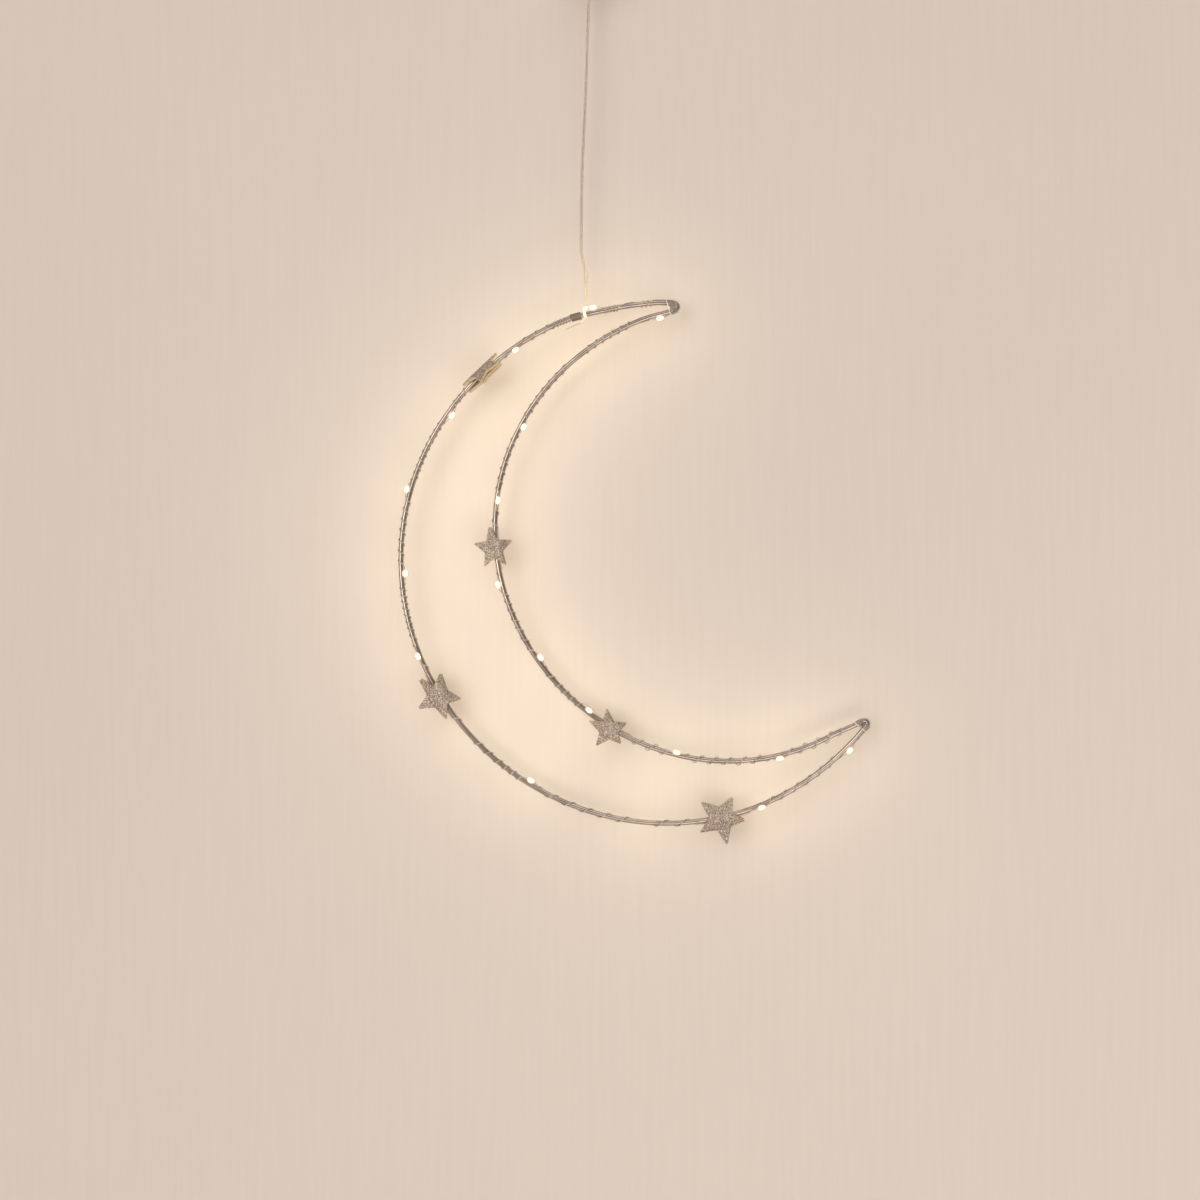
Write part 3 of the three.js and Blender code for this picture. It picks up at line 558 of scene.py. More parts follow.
def drop_tree():
    """Sets a long drop on every point, turned along the point's heading. core is 1 half-way along it."""
    tree = new_tree("Drops", (
        ("Length", "NodeSocketFloat", 0.005), ("Width", "NodeSocketFloat", 0.003),
        ("Material", "NodeSocketMaterial", None),
    ))
    start = add_node(tree, "NodeGroupInput")
    ball = add_node(tree, "GeometryNodeMeshUVSphere", {"Segments": 20, "Rings": 14, "Radius": 0.5})
    heading = add_node(tree, "GeometryNodeInputNamedAttribute", {"Name": "heading"},
                       data_type="FLOAT_VECTOR")
    align = add_node(tree, "FunctionNodeAlignRotationToVector", axis="Z")
    join = add_node(tree, "ShaderNodeCombineXYZ")
    spread = add_node(tree, "GeometryNodeInstanceOnPoints")
    smooth = add_node(tree, "GeometryNodeSetShadeSmooth")
    spot = add_node(tree, "GeometryNodeInputPosition")
    parts = add_node(tree, "ShaderNodeSeparateXYZ")
    away = add_node(tree, "ShaderNodeMath", operation="ABSOLUTE")
    core = add_node(tree, "ShaderNodeMath", {1: -2, 2: 1}, operation="MULTIPLY_ADD")
    kept = add_node(tree, "GeometryNodeStoreNamedAttribute", {"Name": "core"},
                    data_type="FLOAT", domain="POINT")
    wired(
        tree,
        (spot, "Position", parts, "Vector"),
        (parts, "Z", away, 0),
        (away, 0, core, 0),
        (core, 0, kept, "Value"),
        (heading, "Attribute", align, "Vector"),
        (start, "Width", join, "X"),
        (start, "Width", join, "Y"),
        (start, "Length", join, "Z"),
        (ball, "Mesh", smooth, "Geometry"),
        (start, "Geometry", spread, "Points"),
        (smooth, "Geometry", kept, "Geometry"),
        (kept, "Geometry", spread, "Instance"),
        (align, "Rotation", spread, "Rotation"),
        (join, "Vector", spread, "Scale"),
    )
    return finished_tree(tree, start, spread, "Instances")


def glitter_tree():
    """Scatters tilted flakes over the faces that glitter."""
    tree = new_tree("Glitter", (
        ("Density", "NodeSocketFloat", 1e6), ("Flake", "NodeSocketFloat", 0.0005),
        ("Tilt", "NodeSocketFloat", 0.5), ("Seed", "NodeSocketInt", 0),
        ("Material", "NodeSocketMaterial", None),
    ))
    start = add_node(tree, "NodeGroupInput")
    glitters = add_node(tree, "GeometryNodeInputNamedAttribute", {"Name": "glitters"}, data_type="BOOLEAN")
    points = add_node(tree, "GeometryNodeDistributePointsOnFaces")
    disc = add_node(tree, "GeometryNodeMeshCircle", {"Vertices": 6}, fill_type="NGON")
    spread = add_node(tree, "GeometryNodeInstanceOnPoints")
    low = add_node(tree, "ShaderNodeMath", {1: -1}, operation="MULTIPLY")
    low_turn = add_node(tree, "ShaderNodeCombineXYZ")
    high_turn = add_node(tree, "ShaderNodeCombineXYZ", {"Z": math.tau})
    tilt = add_node(tree, "FunctionNodeRandomValue", data_type="FLOAT_VECTOR")
    turn = add_node(tree, "FunctionNodeRotateRotation", rotation_space="LOCAL")
    to_turn = add_node(tree, "FunctionNodeEulerToRotation")
    half = add_node(tree, "ShaderNodeMath", {1: 0.5}, operation="MULTIPLY")
    smallest = add_node(tree, "ShaderNodeMath", {1: 0.55}, operation="MULTIPLY")
    flake = add_node(tree, "FunctionNodeRandomValue", data_type="FLOAT")
    wired(
        tree,
        (start, "Geometry", points, "Mesh"),
        (glitters, "Attribute", points, "Selection"),
        (start, "Density", points, "Density"),
        (start, "Seed", points, "Seed"),
        (start, "Tilt", low, 0),
        (low, 0, low_turn, "X"),
        (start, "Tilt", high_turn, "X"),
        (low, 0, low_turn, "Y"),
        (start, "Tilt", high_turn, "Y"),
        (low_turn, 0, tilt, "Min"),
        (high_turn, 0, tilt, "Max"),
        (start, "Seed", tilt, "Seed"),
        (tilt, "Value", to_turn, "Euler"),
        (points, "Rotation", turn, "Rotation"),
        (to_turn, "Rotation", turn, "Rotate By"),
        (start, "Flake", half, 0),
        (half, 0, smallest, 0),
        (start, "Seed", flake, "Seed"),
        (points, "Points", spread, "Points"),
        (disc, "Mesh", spread, "Instance"),
        (turn, "Rotation", spread, "Rotation"),
    )
    numbers = {socket.name: socket for socket in (*flake.inputs, *flake.outputs) if socket.type == "VALUE"}
    tree.links.new(smallest.outputs[0], numbers["Min"])
    tree.links.new(half.outputs[0], numbers["Max"])
    tree.links.new(numbers["Value"], spread.inputs["Scale"])
    return finished_tree(tree, start, spread, "Instances")


def grown(source, name, tree, **values):
    """A plain mesh object from a source object and a geometry node tree. The source is removed."""
    modifier = source.modifiers.new(tree.name, "NODES")
    modifier.node_group = tree
    sockets = {item.name: item.identifier for item in tree.interface.items_tree if item.in_out == "INPUT"}
    for label, value in values.items():
        modifier[sockets[label.replace("_", " ").title()]] = value
    held = bpy.context.evaluated_depsgraph_get()
    mesh = bpy.data.meshes.new_from_object(source.evaluated_get(held), depsgraph=held)
    mesh.name = name
    source.modifiers.remove(modifier)
    bpy.data.objects.remove(source)
    return new_object(name, mesh)


def round_wire(name, lines, radius, sides, material, closed=False):
    """A round wire along every line of points, as one mesh object."""
    return grown(curve_object(name, lines, closed), name, sweep_tree(),
                 radius=radius, sides=sides, material=material)


# Materials
class Paint:
    """A material built a node at a time, with one principled shader."""

    def __init__(self, name, base, **sockets):
        self.material = bpy.data.materials.new(name)
        self.material.use_nodes = True
        self.material.diffuse_color = (*base, 1)
        self.tree = self.material.node_tree
        self.shader = self.tree.nodes["Principled BSDF"]
        self.shader.inputs["Base Color"].default_value = (*base, 1)
        for label, value in sockets.items():
            label = "IOR" if label == "ior" else label.replace("_", " ").title()
            self.shader.inputs[label].default_value = value

    def node(self, kind, values=(), **settings):
        """A new node with its settings and its inputs' values."""
        return add_node(self.tree, kind, values, **settings)

    def link(self, output, target):
        """Links a node's output to a socket, or to the shader's socket of that name."""
        self.tree.links.new(output, self.shader.inputs[target] if isinstance(target, str) else target)

    def place(self):
        """The object's own coordinates."""
        return self.node("ShaderNodeTexCoord").outputs["Object"]

    def noise(self, scale, detail, place=None):
        """A noise over the object's own coordinates, or over others."""
        made = self.node("ShaderNodeTexNoise", {"Scale": scale, "Detail": detail})
        self.link(place or self.place(), made.inputs["Vector"])
        return made.outputs["Fac"]

    def ramp(self, value, stops):
        """Colours along a value, from (position, colour) pairs."""
        made = self.node("ShaderNodeValToRGB")
        elements = made.color_ramp.elements
        for position, _ in stops[2:]:
            elements.new(position)
        for element, (position, shade) in zip(elements, stops):
            element.position = position
            element.color = (*shade, 1)
        self.link(value, made.inputs["Fac"])
        return made.outputs["Color"]

    def shades(self, value, *stops):
        """Tones of the base colour along a value."""
        self.link(self.ramp(value, stops), "Base Color")

    def bump(self, height, strength, distance):
        """A bump from a height, on the shader."""
        made = self.node("ShaderNodeBump", {"Strength": strength, "Distance": distance})
        self.link(height, made.inputs["Height"])
        self.link(made.outputs["Normal"], "Normal")

    def rough(self, value, low, high):
        """A roughness between two others, along a value from 0 to 1."""
        made = self.node("ShaderNodeMapRange", {"To Min": low, "To Max": high})
        self.link(value, made.inputs["Value"])
        self.link(made.outputs["Result"], "Roughness")


def tone(base, factor):
    """A colour made lighter or darker."""
    return tuple(min(1.0, channel * factor) for channel in base)


def rod_metal(base):
    """Satin drawn metal with small stains."""
    paint = Paint("Satin Rod Metal", base, roughness=0.28, metallic=1.0)
    paint.shades(paint.noise(120, 4), (0.32, tone(base, 0.76)), (0.55, base), (0.75, tone(base, 1.16)))
    fine = paint.noise(2600, 2)
    paint.rough(fine, 0.16, 0.3)
    paint.bump(fine, 0.25, 0.00004)
    return paint.material


def strand_metal(base, name="Bright Strand Metal"):
    """Lacquered wire."""
    paint = Paint(name, base, roughness=0.3, metallic=0.85, coat_weight=0.4)
    stains = paint.noise(420, 2)
    paint.shades(stains, (0.3, tone(base, 0.78)), (0.5, base), (0.72, tone(base, 1.15)))
    paint.bump(stains, 0.2, 0.00003)
    return paint.material


def lit_resin(glow, strength):
    """A clear drop with its light on, brightest at its middle."""
    paint = Paint("Lit Resin", (0.42, 0.33, 0.2), roughness=0.15, coat_weight=0.3,
                  emission_strength=strength)
    clouds = paint.noise(900, 2)
    core = paint.node("ShaderNodeAttribute", attribute_name="core")
    amber = tuple(channel ** 2.2 * 0.22 for channel in glow)
    paint.link(paint.ramp(core.outputs["Fac"], ((0.08, amber), (0.36, tone(glow, 0.55)), (0.7, glow))),
               "Emission Color")
    paint.bump(clouds, 0.3, 0.0001)
    return paint.material


def flake_metal(base, name, spread):
    """Glitter whose grains each have their own tone and tilt."""
    paint = Paint(name, base, roughness=0.36, metallic=0.75)
    grains = paint.node("ShaderNodeTexVoronoi", {"Scale": 2900.0, "Randomness": 1.0}, feature="F1")
    parts = paint.node("ShaderNodeSeparateColor")
    away = paint.node("ShaderNodeVectorMath", {1: (0.5, 0.5, 0.5)}, operation="SUBTRACT")
    tilt = paint.node("ShaderNodeVectorMath", {"Scale": spread}, operation="SCALE")
    turned = paint.node("ShaderNodeVectorMath", operation="ADD")
    level = paint.node("ShaderNodeVectorMath", operation="NORMALIZE")
    paint.link(paint.place(), grains.inputs["Vector"])
    wired(
        paint.tree,
        (grains, "Color", parts, "Color"),
        (grains, "Color", away, 0),
        (away, "Vector", tilt, 0),
        (paint.node("ShaderNodeNewGeometry"), "Normal", turned, 0),
        (tilt, "Vector", turned, 1),
        (turned, "Vector", level, 0),
        (level, "Vector", paint.shader, "Normal"),
    )
    paint.shades(parts.outputs["Red"], (0.0, tone(base, 0.3)), (0.4, tone(base, 0.8)),
                 (0.75, tone(base, 1.25)), (1.0, tone(base, 2.2)))
    paint.rough(parts.outputs["Green"], 0.2, 0.6)
    return paint.material


def cut_foam(base):
    """The open cells of a cut foam edge."""
    paint = Paint("Cut Foam", base, roughness=0.92, sheen_weight=0.2)
    cells = paint.node("ShaderNodeTexVoronoi", {"Scale": 3600.0}, feature="F1")
    paint.link(paint.place(), cells.inputs["Vector"])
    paint.shades(cells.outputs["Distance"], (0.0, tone(base, 1.15)), (0.6, tone(base, 0.7)))
    paint.bump(cells.outputs["Distance"], 0.6, 0.00015)
    return paint.material


def clear_plastic(name, base, through, roughness):
    """Clear plastic with a faint cloud in it."""
    paint = Paint(name, base, roughness=roughness, transmission_weight=through, ior=1.46)
    clouds = paint.noise(650, 3)
    paint.shades(clouds, (0.3, tone(base, 0.88)), (0.7, tone(base, 1.1)))
    paint.bump(clouds, 0.15, 0.00005)
    return paint.material


def moulded_plastic(name, base, grain=1500.0, roughness=0.5):
    """Moulded plastic with a fine spark-eroded grain."""
    paint = Paint(name, base, roughness=roughness)
    fine = paint.noise(grain, 3)
    paint.shades(paint.noise(60, 2), (0.3, tone(base, 0.95)), (0.7, tone(base, 1.04)))
    paint.rough(fine, roughness - 0.08, roughness + 0.1)
    paint.bump(fine, 0.3, 0.00006)
    return paint.material


def plated_metal(name, base, roughness=0.28):
    """Nickel-plated sheet or spring."""
    paint = Paint(name, base, roughness=roughness, metallic=1.0)
    fine = paint.noise(900, 3)
    paint.rough(fine, roughness - 0.08, roughness + 0.12)
    paint.bump(fine, 0.12, 0.00004)
    return paint.material


def cell_wrap():
    """A shrunk plastic sleeve over a steel can."""
    paint = Paint("Cell Wrap", (0.10, 0.13, 0.16), roughness=0.28, metallic=0.35, coat_weight=0.3)
    soft = paint.noise(300, 2)
    paint.shades(soft, (0.3, (0.08, 0.10, 0.13)), (0.7, (0.13, 0.16, 0.19)))
    paint.bump(soft, 0.1, 0.00005)
    return paint.material


def board_lacquer():
    """Green lacquer with faint tracks."""
    paint = Paint("Board Lacquer", (0.045, 0.16, 0.07), roughness=0.3, coat_weight=0.4)
    tracks = paint.node("ShaderNodeTexBrick", {
        "Scale": 420.0, "Color1": (0.045, 0.16, 0.07, 1), "Color2": (0.055, 0.18, 0.08, 1),
        "Mortar": (0.09, 0.24, 0.11, 1),
    })
    paint.link(paint.place(), tracks.inputs["Vector"])
    paint.link(tracks.outputs["Color"], "Base Color")
    return paint.material


def wall_paint(base, name, texture):
    """Matt paint with faint brush streaks, seen from its front only, so that the light shows from behind."""
    paint = Paint(name, base, roughness=0.9)
    stretched = paint.node("ShaderNodeMapping", {"Scale": (300.0, 1.0, 14.0)})
    paint.link(paint.place(), stretched.inputs["Vector"])
    mix = paint.node("ShaderNodeMixRGB", {"Fac": 1.0}, blend_type="MULTIPLY")
    broad = paint.ramp(paint.noise(2.2, 2), ((0.3, tone(base, 0.97)), (0.7, tone(base, 1.02))))
    streaks = paint.ramp(paint.noise(1, 2, stretched.outputs["Vector"]),
                         ((0.35, (0.984, 0.984, 0.984)), (0.65, (1.0, 1.0, 1.0))))
    paint.link(broad, mix.inputs["Color1"])
    paint.link(streaks, mix.inputs["Color2"])
    paint.link(mix.outputs["Color"], "Base Color")
    paint.bump(paint.noise(texture, 3), 0.12, 0.0004)
    either = paint.node("ShaderNodeMixShader")
    wired(
        paint.tree,
        (paint.node("ShaderNodeNewGeometry"), "Backfacing", either, "Fac"),
        (paint.shader, 0, either, 1),
        (paint.node("ShaderNodeBsdfTransparent"), 0, either, 2),
        (either, 0, paint.tree.nodes["Material Output"], "Surface"),
    )
    return paint.material


def painted(thing, *materials):
    """Gives an object its materials in place of any that it has."""
    thing.data.materials.clear()
    for material in materials:
        thing.data.materials.append(material)
    return thing


# Camera: the width of its view on the crescent's plane, and the view's middle, in millimetres
FRAME_WIDTH = 690.4
FRAME_MIDDLE = (6.83, -440.24)


class MOONLIGHT_OT_camera(bpy.types.Operator):
    """Set the camera square to the wall, in front of the crescent"""
    bl_idname = "moonlight.camera"
    bl_label = "Camera"

    def execute(self, context):
        settings = context.scene.moonlight_stage
        data = bpy.data.cameras.new("Camera")
        data.lens = settings.lens
        camera = new_object("Camera", data)
        middle = placed(*FRAME_MIDDLE)
        distance = FRAME_WIDTH * MM * settings.lens / data.sensor_width
        camera.location = middle - Vector((0, distance, 0))
        camera.rotation_euler = (math.radians(90), 0, 0)
        context.scene.camera = camera
        return {"FINISHED"}


PARTED = {"at": 0.865, "reach": 0.03}  # where the strands part, as shares of the lead's length


def lead_route():
    """The lead's centreline from the box's bushing to the tie."""
    places = [placed(LEAD_FOOT + sway, LEAD_TOP - LEAD_DROP * down) for down, sway in LEAD_SWAY]
    return smooth_route(places, 40)


class MOONLIGHT_OT_lead(bpy.types.Operator):
    """Make the twin lead, whose strands part for a short way above the crescent"""
    bl_idname = "moonlight.lead"
    bl_label = "Lead"

    def execute(self, context):
        settings = context.scene.moonlight_lead
        radius = settings.strand_diameter / 2
        route = lead_route()
        fine = smooth_route(route, 240)
        strands = []
        for side in (-1, 1):
            path = []
            for i, place in enumerate(fine):
                down = i / (len(fine) - 1)
                parted = math.exp(-((down - PARTED["at"]) / PARTED["reach"]) ** 2)
                turn = 0.25 * math.sin(5 * down) + parted * 0.5
                apart = radius * (0.97 + 1.4 * parted)
                path.append(place + Vector((math.cos(turn), math.sin(turn), 0)) * apart * side)
            strands.append(swept(path, radius, 10))
        lead = mesh_object("lead_strands", *merged(*strands))
        cleaned(lead)
        painted(lead, clear_plastic("Tinted Lead Skin", tuple(settings.lead_colour), 0.35, 0.3))
        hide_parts("lead_wire")
        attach(lead, "lead")
        return {"FINISHED"}


class MOONLIGHT_OT_rods(bpy.types.Operator):
    """Make the crescent's bent rod as one smooth welded loop"""
    bl_idname = "moonlight.rods"
    bl_label = "Rods"

    def execute(self, context):
        settings = context.scene.moonlight_rods
        line = []
        along = 0.0
        apexes = [(LOOP.starts[bend] + LOOP.ends[bend]) / 2 for bend in ("lower_bend", "upper_bend")]
        while along < LOOP.length - 0.3:
            centre = LOOP.at(along)[0]
            line.append(placed(centre.x, centre.y))
            near = min(abs(along - apex) for apex in apexes)
            along += 0.4 if near < 6 else 2.5
        metal = rod_metal(tuple(settings.rod_colour))
        rods = round_wire("bent_rods", [line], settings.rod_diameter / 2, 20, metal, closed=True)
        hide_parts("outer_rod", "inner_rod")
        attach(rods, "crescent")
        return {"FINISHED"}


# The wound string
WIRE_GAP = 0.2
STRING_START, STRING_END = 8.5, 2.5  # how far from the tie, after it and before it
BEAD_RAMP = 3.0
BINDING = {
    "upper": ((-4.0, 4.35), (-2.7, 4.15), (-1.7, 3.95), (-0.7, 3.75), (0.3, 3.55), (1.2, 3.0)),
    "lower": ((-3.8, 4.25), (-2.5, 4.05), (-1.4, 3.85), (-0.4, 3.65), (0.6, 3.3)),
    "slant": 0.7,
    "seat": 0.35,
}
TIP_FLAT = 15.0
TURN_STEPS = 16
PITCH_STEP, REST_STEP = 0.25, 0.75


def stretch_at(along):
    """The (start, pitch, slack) that holds at a length along the loop. Slack below 0 hangs outside it."""
    held = STRETCHES[0]
    for stretch in STRETCHES:
        if stretch[0] <= along:
            held = stretch
    return held


def string_route(strand_radius, drop_length, drop_width):
    """(along, side, distance) of the string's middle, wound round the loop from the sleeve to the tie."""
    wire_seat = ROD_RADIUS + WIRE_GAP + strand_radius
    bead_seat = ROD_RADIUS + SEAT_GAP + drop_width / 2
    half = drop_length / 2
    start = TIE_ALONG + STRING_START
    end = TIE_ALONG + LOOP.length - STRING_END

    def seat(along):
        past = min(abs(along - bead) for bead, _ in BEADS) - half
        near = min(1.0, max(0.0, 1 - past / BEAD_RAMP))
        near = near * near * (3 - 2 * near)
        return wire_seat + (bead_seat - wire_seat) * near

    rests = [(start, OUTSIDE, 0.0)]
    for bend in ("lower_bend", "upper_bend"):
        rests.append(((LOOP.starts[bend] + LOOP.ends[bend]) / 2, OUTSIDE, TIP_FLAT))
    rests += [(star["along"], OUTSIDE - star["tilt"], star["radius"]) for star in STARS]
    rests += [(along, side, half + BEAD_RAMP) for along, side in BEADS]
    rests.sort()
    places = []
    side = OUTSIDE
    reached = start
    for along, wanted, reach in rests:
        stop = min(along - reach, end)
        if stop > reached:
            count = max(1, round((stop - reached) / PITCH_STEP))
            turns = [0.0]
            for i in range(count):
                here = reached + (stop - reached) * (i + 0.5) / count
                turns.append(turns[-1] + (stop - reached) / count / stretch_at(here)[1])
            remainder = (wanted - side) % 360
            turn = remainder + 360 * max(0, round(turns[-1] - remainder / 360))
            steps = max(2, math.ceil(turn / 360 * TURN_STEPS))
            held = 0
            for part in range(steps):
                goal = turns[-1] * part / steps
                while held < count - 1 and turns[held + 1] < goal:
                    held += 1
                within = (goal - turns[held]) / (turns[held + 1] - turns[held])
                here = reached + (stop - reached) * (held + within) / count
                angle = side + turn * part / steps
                fade = min(1.0, 2 * part / TURN_STEPS, 2 * (steps - part) / TURN_STEPS)
                slack = stretch_at(here)[2]
                slack = abs(slack) * (1 - math.copysign(math.cos(math.radians(angle)), slack)) / 2
                wander = 1 + 0.5 * math.sin(0.11 * here) * math.sin(0.37 * here + 1)
                places.append((here, angle, seat(here) + fade * slack * wander))
            side += turn
        reached = max(reached, stop)
        stop = min(along + reach, end)
        while reached < stop - 1e-6:
            places.append((reached, side, seat(reached)))
            reached = min(stop, reached + REST_STEP)
    places.append((end, side, seat(end)))
    return places


class MOONLIGHT_OT_string(bpy.types.Operator):
    """Wind the string's two strands round the rods"""
    bl_idname = "moonlight.string"
    bl_label = "Light String"

    def execute(self, context):
        settings = context.scene.moonlight_rods
        drops = context.scene.moonlight_drops
        radius = settings.strand_diameter / 2 / MM
        route = string_route(radius, drops.drop_length / MM, drops.drop_width / MM)
        middle = [LOOP.point(*place) for place in route]
        ways = [
            (place - LOOP.point(along, side, 0)).normalized()
            for (along, side, _), place in zip(route, middle)
        ]
        strands = [[], []]
        for i, place in enumerate(middle):
            heading = (middle[min(i + 1, len(middle) - 1)] - middle[max(i - 1, 0)]).normalized()
            beside = heading.cross(ways[i]).normalized() * radius * MM * 1.04
            strands[0].append(place - beside)
            strands[1].append(place + beside)
        metal = strand_metal(tuple(settings.strand_colour))
        string = round_wire("wound_light_string", strands, radius * MM, 6, metal)
        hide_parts("light_string_wire")
        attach(string, "crescent")
        return {"FINISHED"}


def binding_route(bend, heading, reach, slant):
    """Turns of a strand round both rods at a tip, from (place along its heading, half height) pairs."""
    turn = math.radians(heading)
    ahead = Vector((math.cos(turn), math.sin(turn)))
    across = Vector((-ahead.y, ahead.x))
    thick = ROD_RADIUS + BINDING["seat"]
    steps = 26
    places = []
    for i in range((len(reach) - 1) * steps + 1):
        low = min(i // steps, len(reach) - 2)
        part = i / steps - low
        past, tall = (a + (b - a) * part for a, b in zip(reach[low], reach[low + 1]))
        angle = math.tau * i / steps
        up = math.cos(angle)
        front = math.sin(angle)
        flat = max(-1.0, min(1.0, 1.45 * up))
        spot = bend + ahead * (past - slant * flat) + across * tall * flat
        places.append(placed(spot.x, spot.y, -thick * (abs(front) ** 0.75) * math.copysign(1, front)))
    return places


class MOONLIGHT_OT_bindings(bpy.types.Operator):
    """Bind both tips with the string's strands, over the two rods"""
    bl_idname = "moonlight.bindings"
    bl_label = "Tip Bindings"

    def execute(self, context):
        settings = context.scene.moonlight_rods
        first, rest = [], []
        for tip in ("upper", "lower"):
            bend, heading = LOOP.bends[tip]
            for aside in (0.0, settings.strand_diameter / MM):
                reach = [(past + aside, tall) for past, tall in BINDING[tip]]
                first.append(binding_route(bend, heading, reach[:2], BINDING["slant"]))
                rest.append(binding_route(bend, heading, reach[1:], BINDING["slant"]))
        # The first turn at each tip is a painted highlight: the strand colour made lighter to stand for the
        # bright line of light across both rods. The other turns are a darker tone of the strand colour.
        bright = strand_metal(tone(settings.strand_colour, 1.55), "Strand Metal Painted Highlight")
        darker_tone = strand_metal(tone(settings.strand_colour, 0.68), "Darker Strand Metal")
        for name, lines, metal in (("first_tip_turns", first, bright), ("tip_bindings", rest, darker_tone)):
            strands = round_wire(name, lines, settings.strand_diameter / 2, 6, metal)
            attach(strands, "crescent")
        return {"FINISHED"}


class MOONLIGHT_OT_drops(bpy.types.Operator):
    """Set a lit resin drop on the string at each of its places"""
    bl_idname = "moonlight.drops"
    bl_label = "Lit Drops"

    def execute(self, context):
        settings = context.scene.moonlight_drops
        names = sorted(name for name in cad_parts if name.startswith("led_bead"))
        centres = [sum(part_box(name), Vector()) / 2 for name in names]
        mesh = bpy.data.meshes.new("drops")
        mesh.from_pydata([tuple(centre) for centre in centres], [], [])
        headings = mesh.attributes.new("heading", "FLOAT_VECTOR", "POINT")
        for i, centre in enumerate(centres):
            nearest = min(BEADS, key=lambda bead: (LOOP.point(bead[0], 0, 0) - centre).length)
            heading = LOOP.at(nearest[0])[1]
            headings.data[i].vector = (heading.x, 0, heading.y)
        glow = lit_resin(tuple(settings.glow_colour), settings.glow)
        drops = grown(new_object("drops", mesh), "lit_drops", drop_tree(),
                      length=settings.drop_length, width=settings.drop_width, material=glow)
        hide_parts(*names)
        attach(drops, "crescent")
        return {"FINISHED"}


# Stars
CHANNEL_HALF = 1.9
CHANNEL_FADE = 6.0
GLUE_HALF = 0.15
RIM_ROUNDING = 0.22
RIM_SHARE = 0.985  # of the rim's reach, where its rounding starts
STAR_RINGS = 16


def star_rim(star, tip):
    """A star's rim with slightly rounded points, as (along the rod, to the inside of the loop)."""
    radius, offset, own = star["radius"], star["offset"], star["points"]
    rim = []
    for corner in range(10):
        before, after = own[corner // 2], own[(corner + 1) // 2 % 5]
        turned, share_of_reach = ((a + b) / 2 for a, b in zip(before, after))
        reach = radius * (STAR_WAIST if corner % 2 else 1.03) * share_of_reach
        angle = math.radians(tip + 36 * corner + turned)
        rim.append(Vector((reach * math.cos(angle), reach * math.sin(angle) - offset)))
    edge = []
    for a, b in zip(rim, rim[1:] + rim[:1]):
        edge.extend(a.lerp(b, step / 6) for step in range(6))
    for _ in range(2):
        softer = []
        for a, b in zip(edge, edge[1:] + edge[:1]):
            softer.append(a.lerp(b, 0.25))
            softer.append(a.lerp(b, 0.75))
        edge = softer
    return edge


def raised(across):
    """How far the layer's inner face stands off the middle plane over rod and wire, in millimetres."""
    crest = ROD_RADIUS + SEAT_GAP
    past = (abs(across) - CHANNEL_HALF) / CHANNEL_FADE
    fall = (1 + math.cos(math.pi * min(1.0, max(0.0, past)))) / 2
    return GLUE_HALF + (crest - GLUE_HALF) * fall


def star_layer(star, to_back, thickness, seed):
    """Points, faces and glitter flags of one foam layer, before it is placed."""
    order = random.Random(seed)
    curl = [order.uniform(-0.25, 0.35) for _ in range(5)]
    turn = star["back_turn"] if to_back else 0
    _, heading, _ = LOOP.at(star["along"])
    tip = star["tip"] + turn - math.degrees(math.atan2(heading.y, heading.x))
    rim = star_rim(star, tip)
    middle = Vector((0, -star["offset"]))
    points, faces, glitters = [], [], []

    def lift(spot, outer):
        """Height of the face over the middle plane, with the points a little curled."""
        away = (spot - middle).length / star["radius"]
        angle = math.degrees(math.atan2(spot.y - middle.y, spot.x - middle.x)) - tip
        point = curl[round(angle / 72) % 5] * max(0.0, away - 0.45) ** 2
        soft = 0.03 * math.sin(2.1 * spot.x + seed) * math.sin(1.7 * spot.y - seed)
        return raised(spot.y) + max(0.0, point) + soft * outer + (thickness if outer else 0)

    def ring_of(scale, height_of):
        ring = []
        for spot in rim:
            place = middle + (spot - middle) * scale
            ring.append(len(points))
            points.append(Vector((place.x, height_of(place), place.y)))
        return ring

    def inner_face(place):
        return lift(place, 0)

    def outer_face(place):
        return lift(place, 1)

    shares = [(ring / STAR_RINGS) ** 0.9 * RIM_SHARE for ring in range(1, STAR_RINGS + 1)]
    layers = [(ring_of(share_of_rim, inner_face), False) for share_of_rim in shares]
    layers.append((ring_of(1.0, lambda place: inner_face(place) + RIM_ROUNDING), False))
    layers.append((ring_of(1.0, lambda place: outer_face(place) - RIM_ROUNDING), False))
    layers += [(ring_of(share_of_rim, outer_face), True) for share_of_rim in reversed(shares)]
    for (low, _), (high, shines) in zip(layers, layers[1:]):
        faces.extend(band(low, high))
        glitters.extend([shines] * len(rim))
    for ring, height_of, shines in ((layers[0][0], inner_face, False), (layers[-1][0], outer_face, True)):
        hub = len(points)
        points.append(Vector((middle.x, height_of(middle), middle.y)))
        faces.extend(band(ring, [hub]))
        glitters.extend([shines] * len(rim))
    if not to_back:
        points = [Vector((point.x, -point.y, point.z)) for point in points]
    return points, faces, glitters


def star_place(star):
    """The matrix that sets a star on its rod."""
    centre, heading, out = LOOP.at(star["along"])
    inward = -out
    centre = centre + inward * star["radius"] ** 2 / (4 * OUTER_RADIUS)
    axes = Matrix((
        (heading.x, 0, inward.x),
        (0, 1, 0),
        (heading.y, 0, inward.y),
    )).to_4x4()
    tilt = Matrix.Rotation(math.radians(star["tilt"]), 4, "X")
    scale = Matrix.Scale(MM, 4)
    return Matrix.Translation(placed(centre.x, centre.y)) @ axes @ tilt @ scale


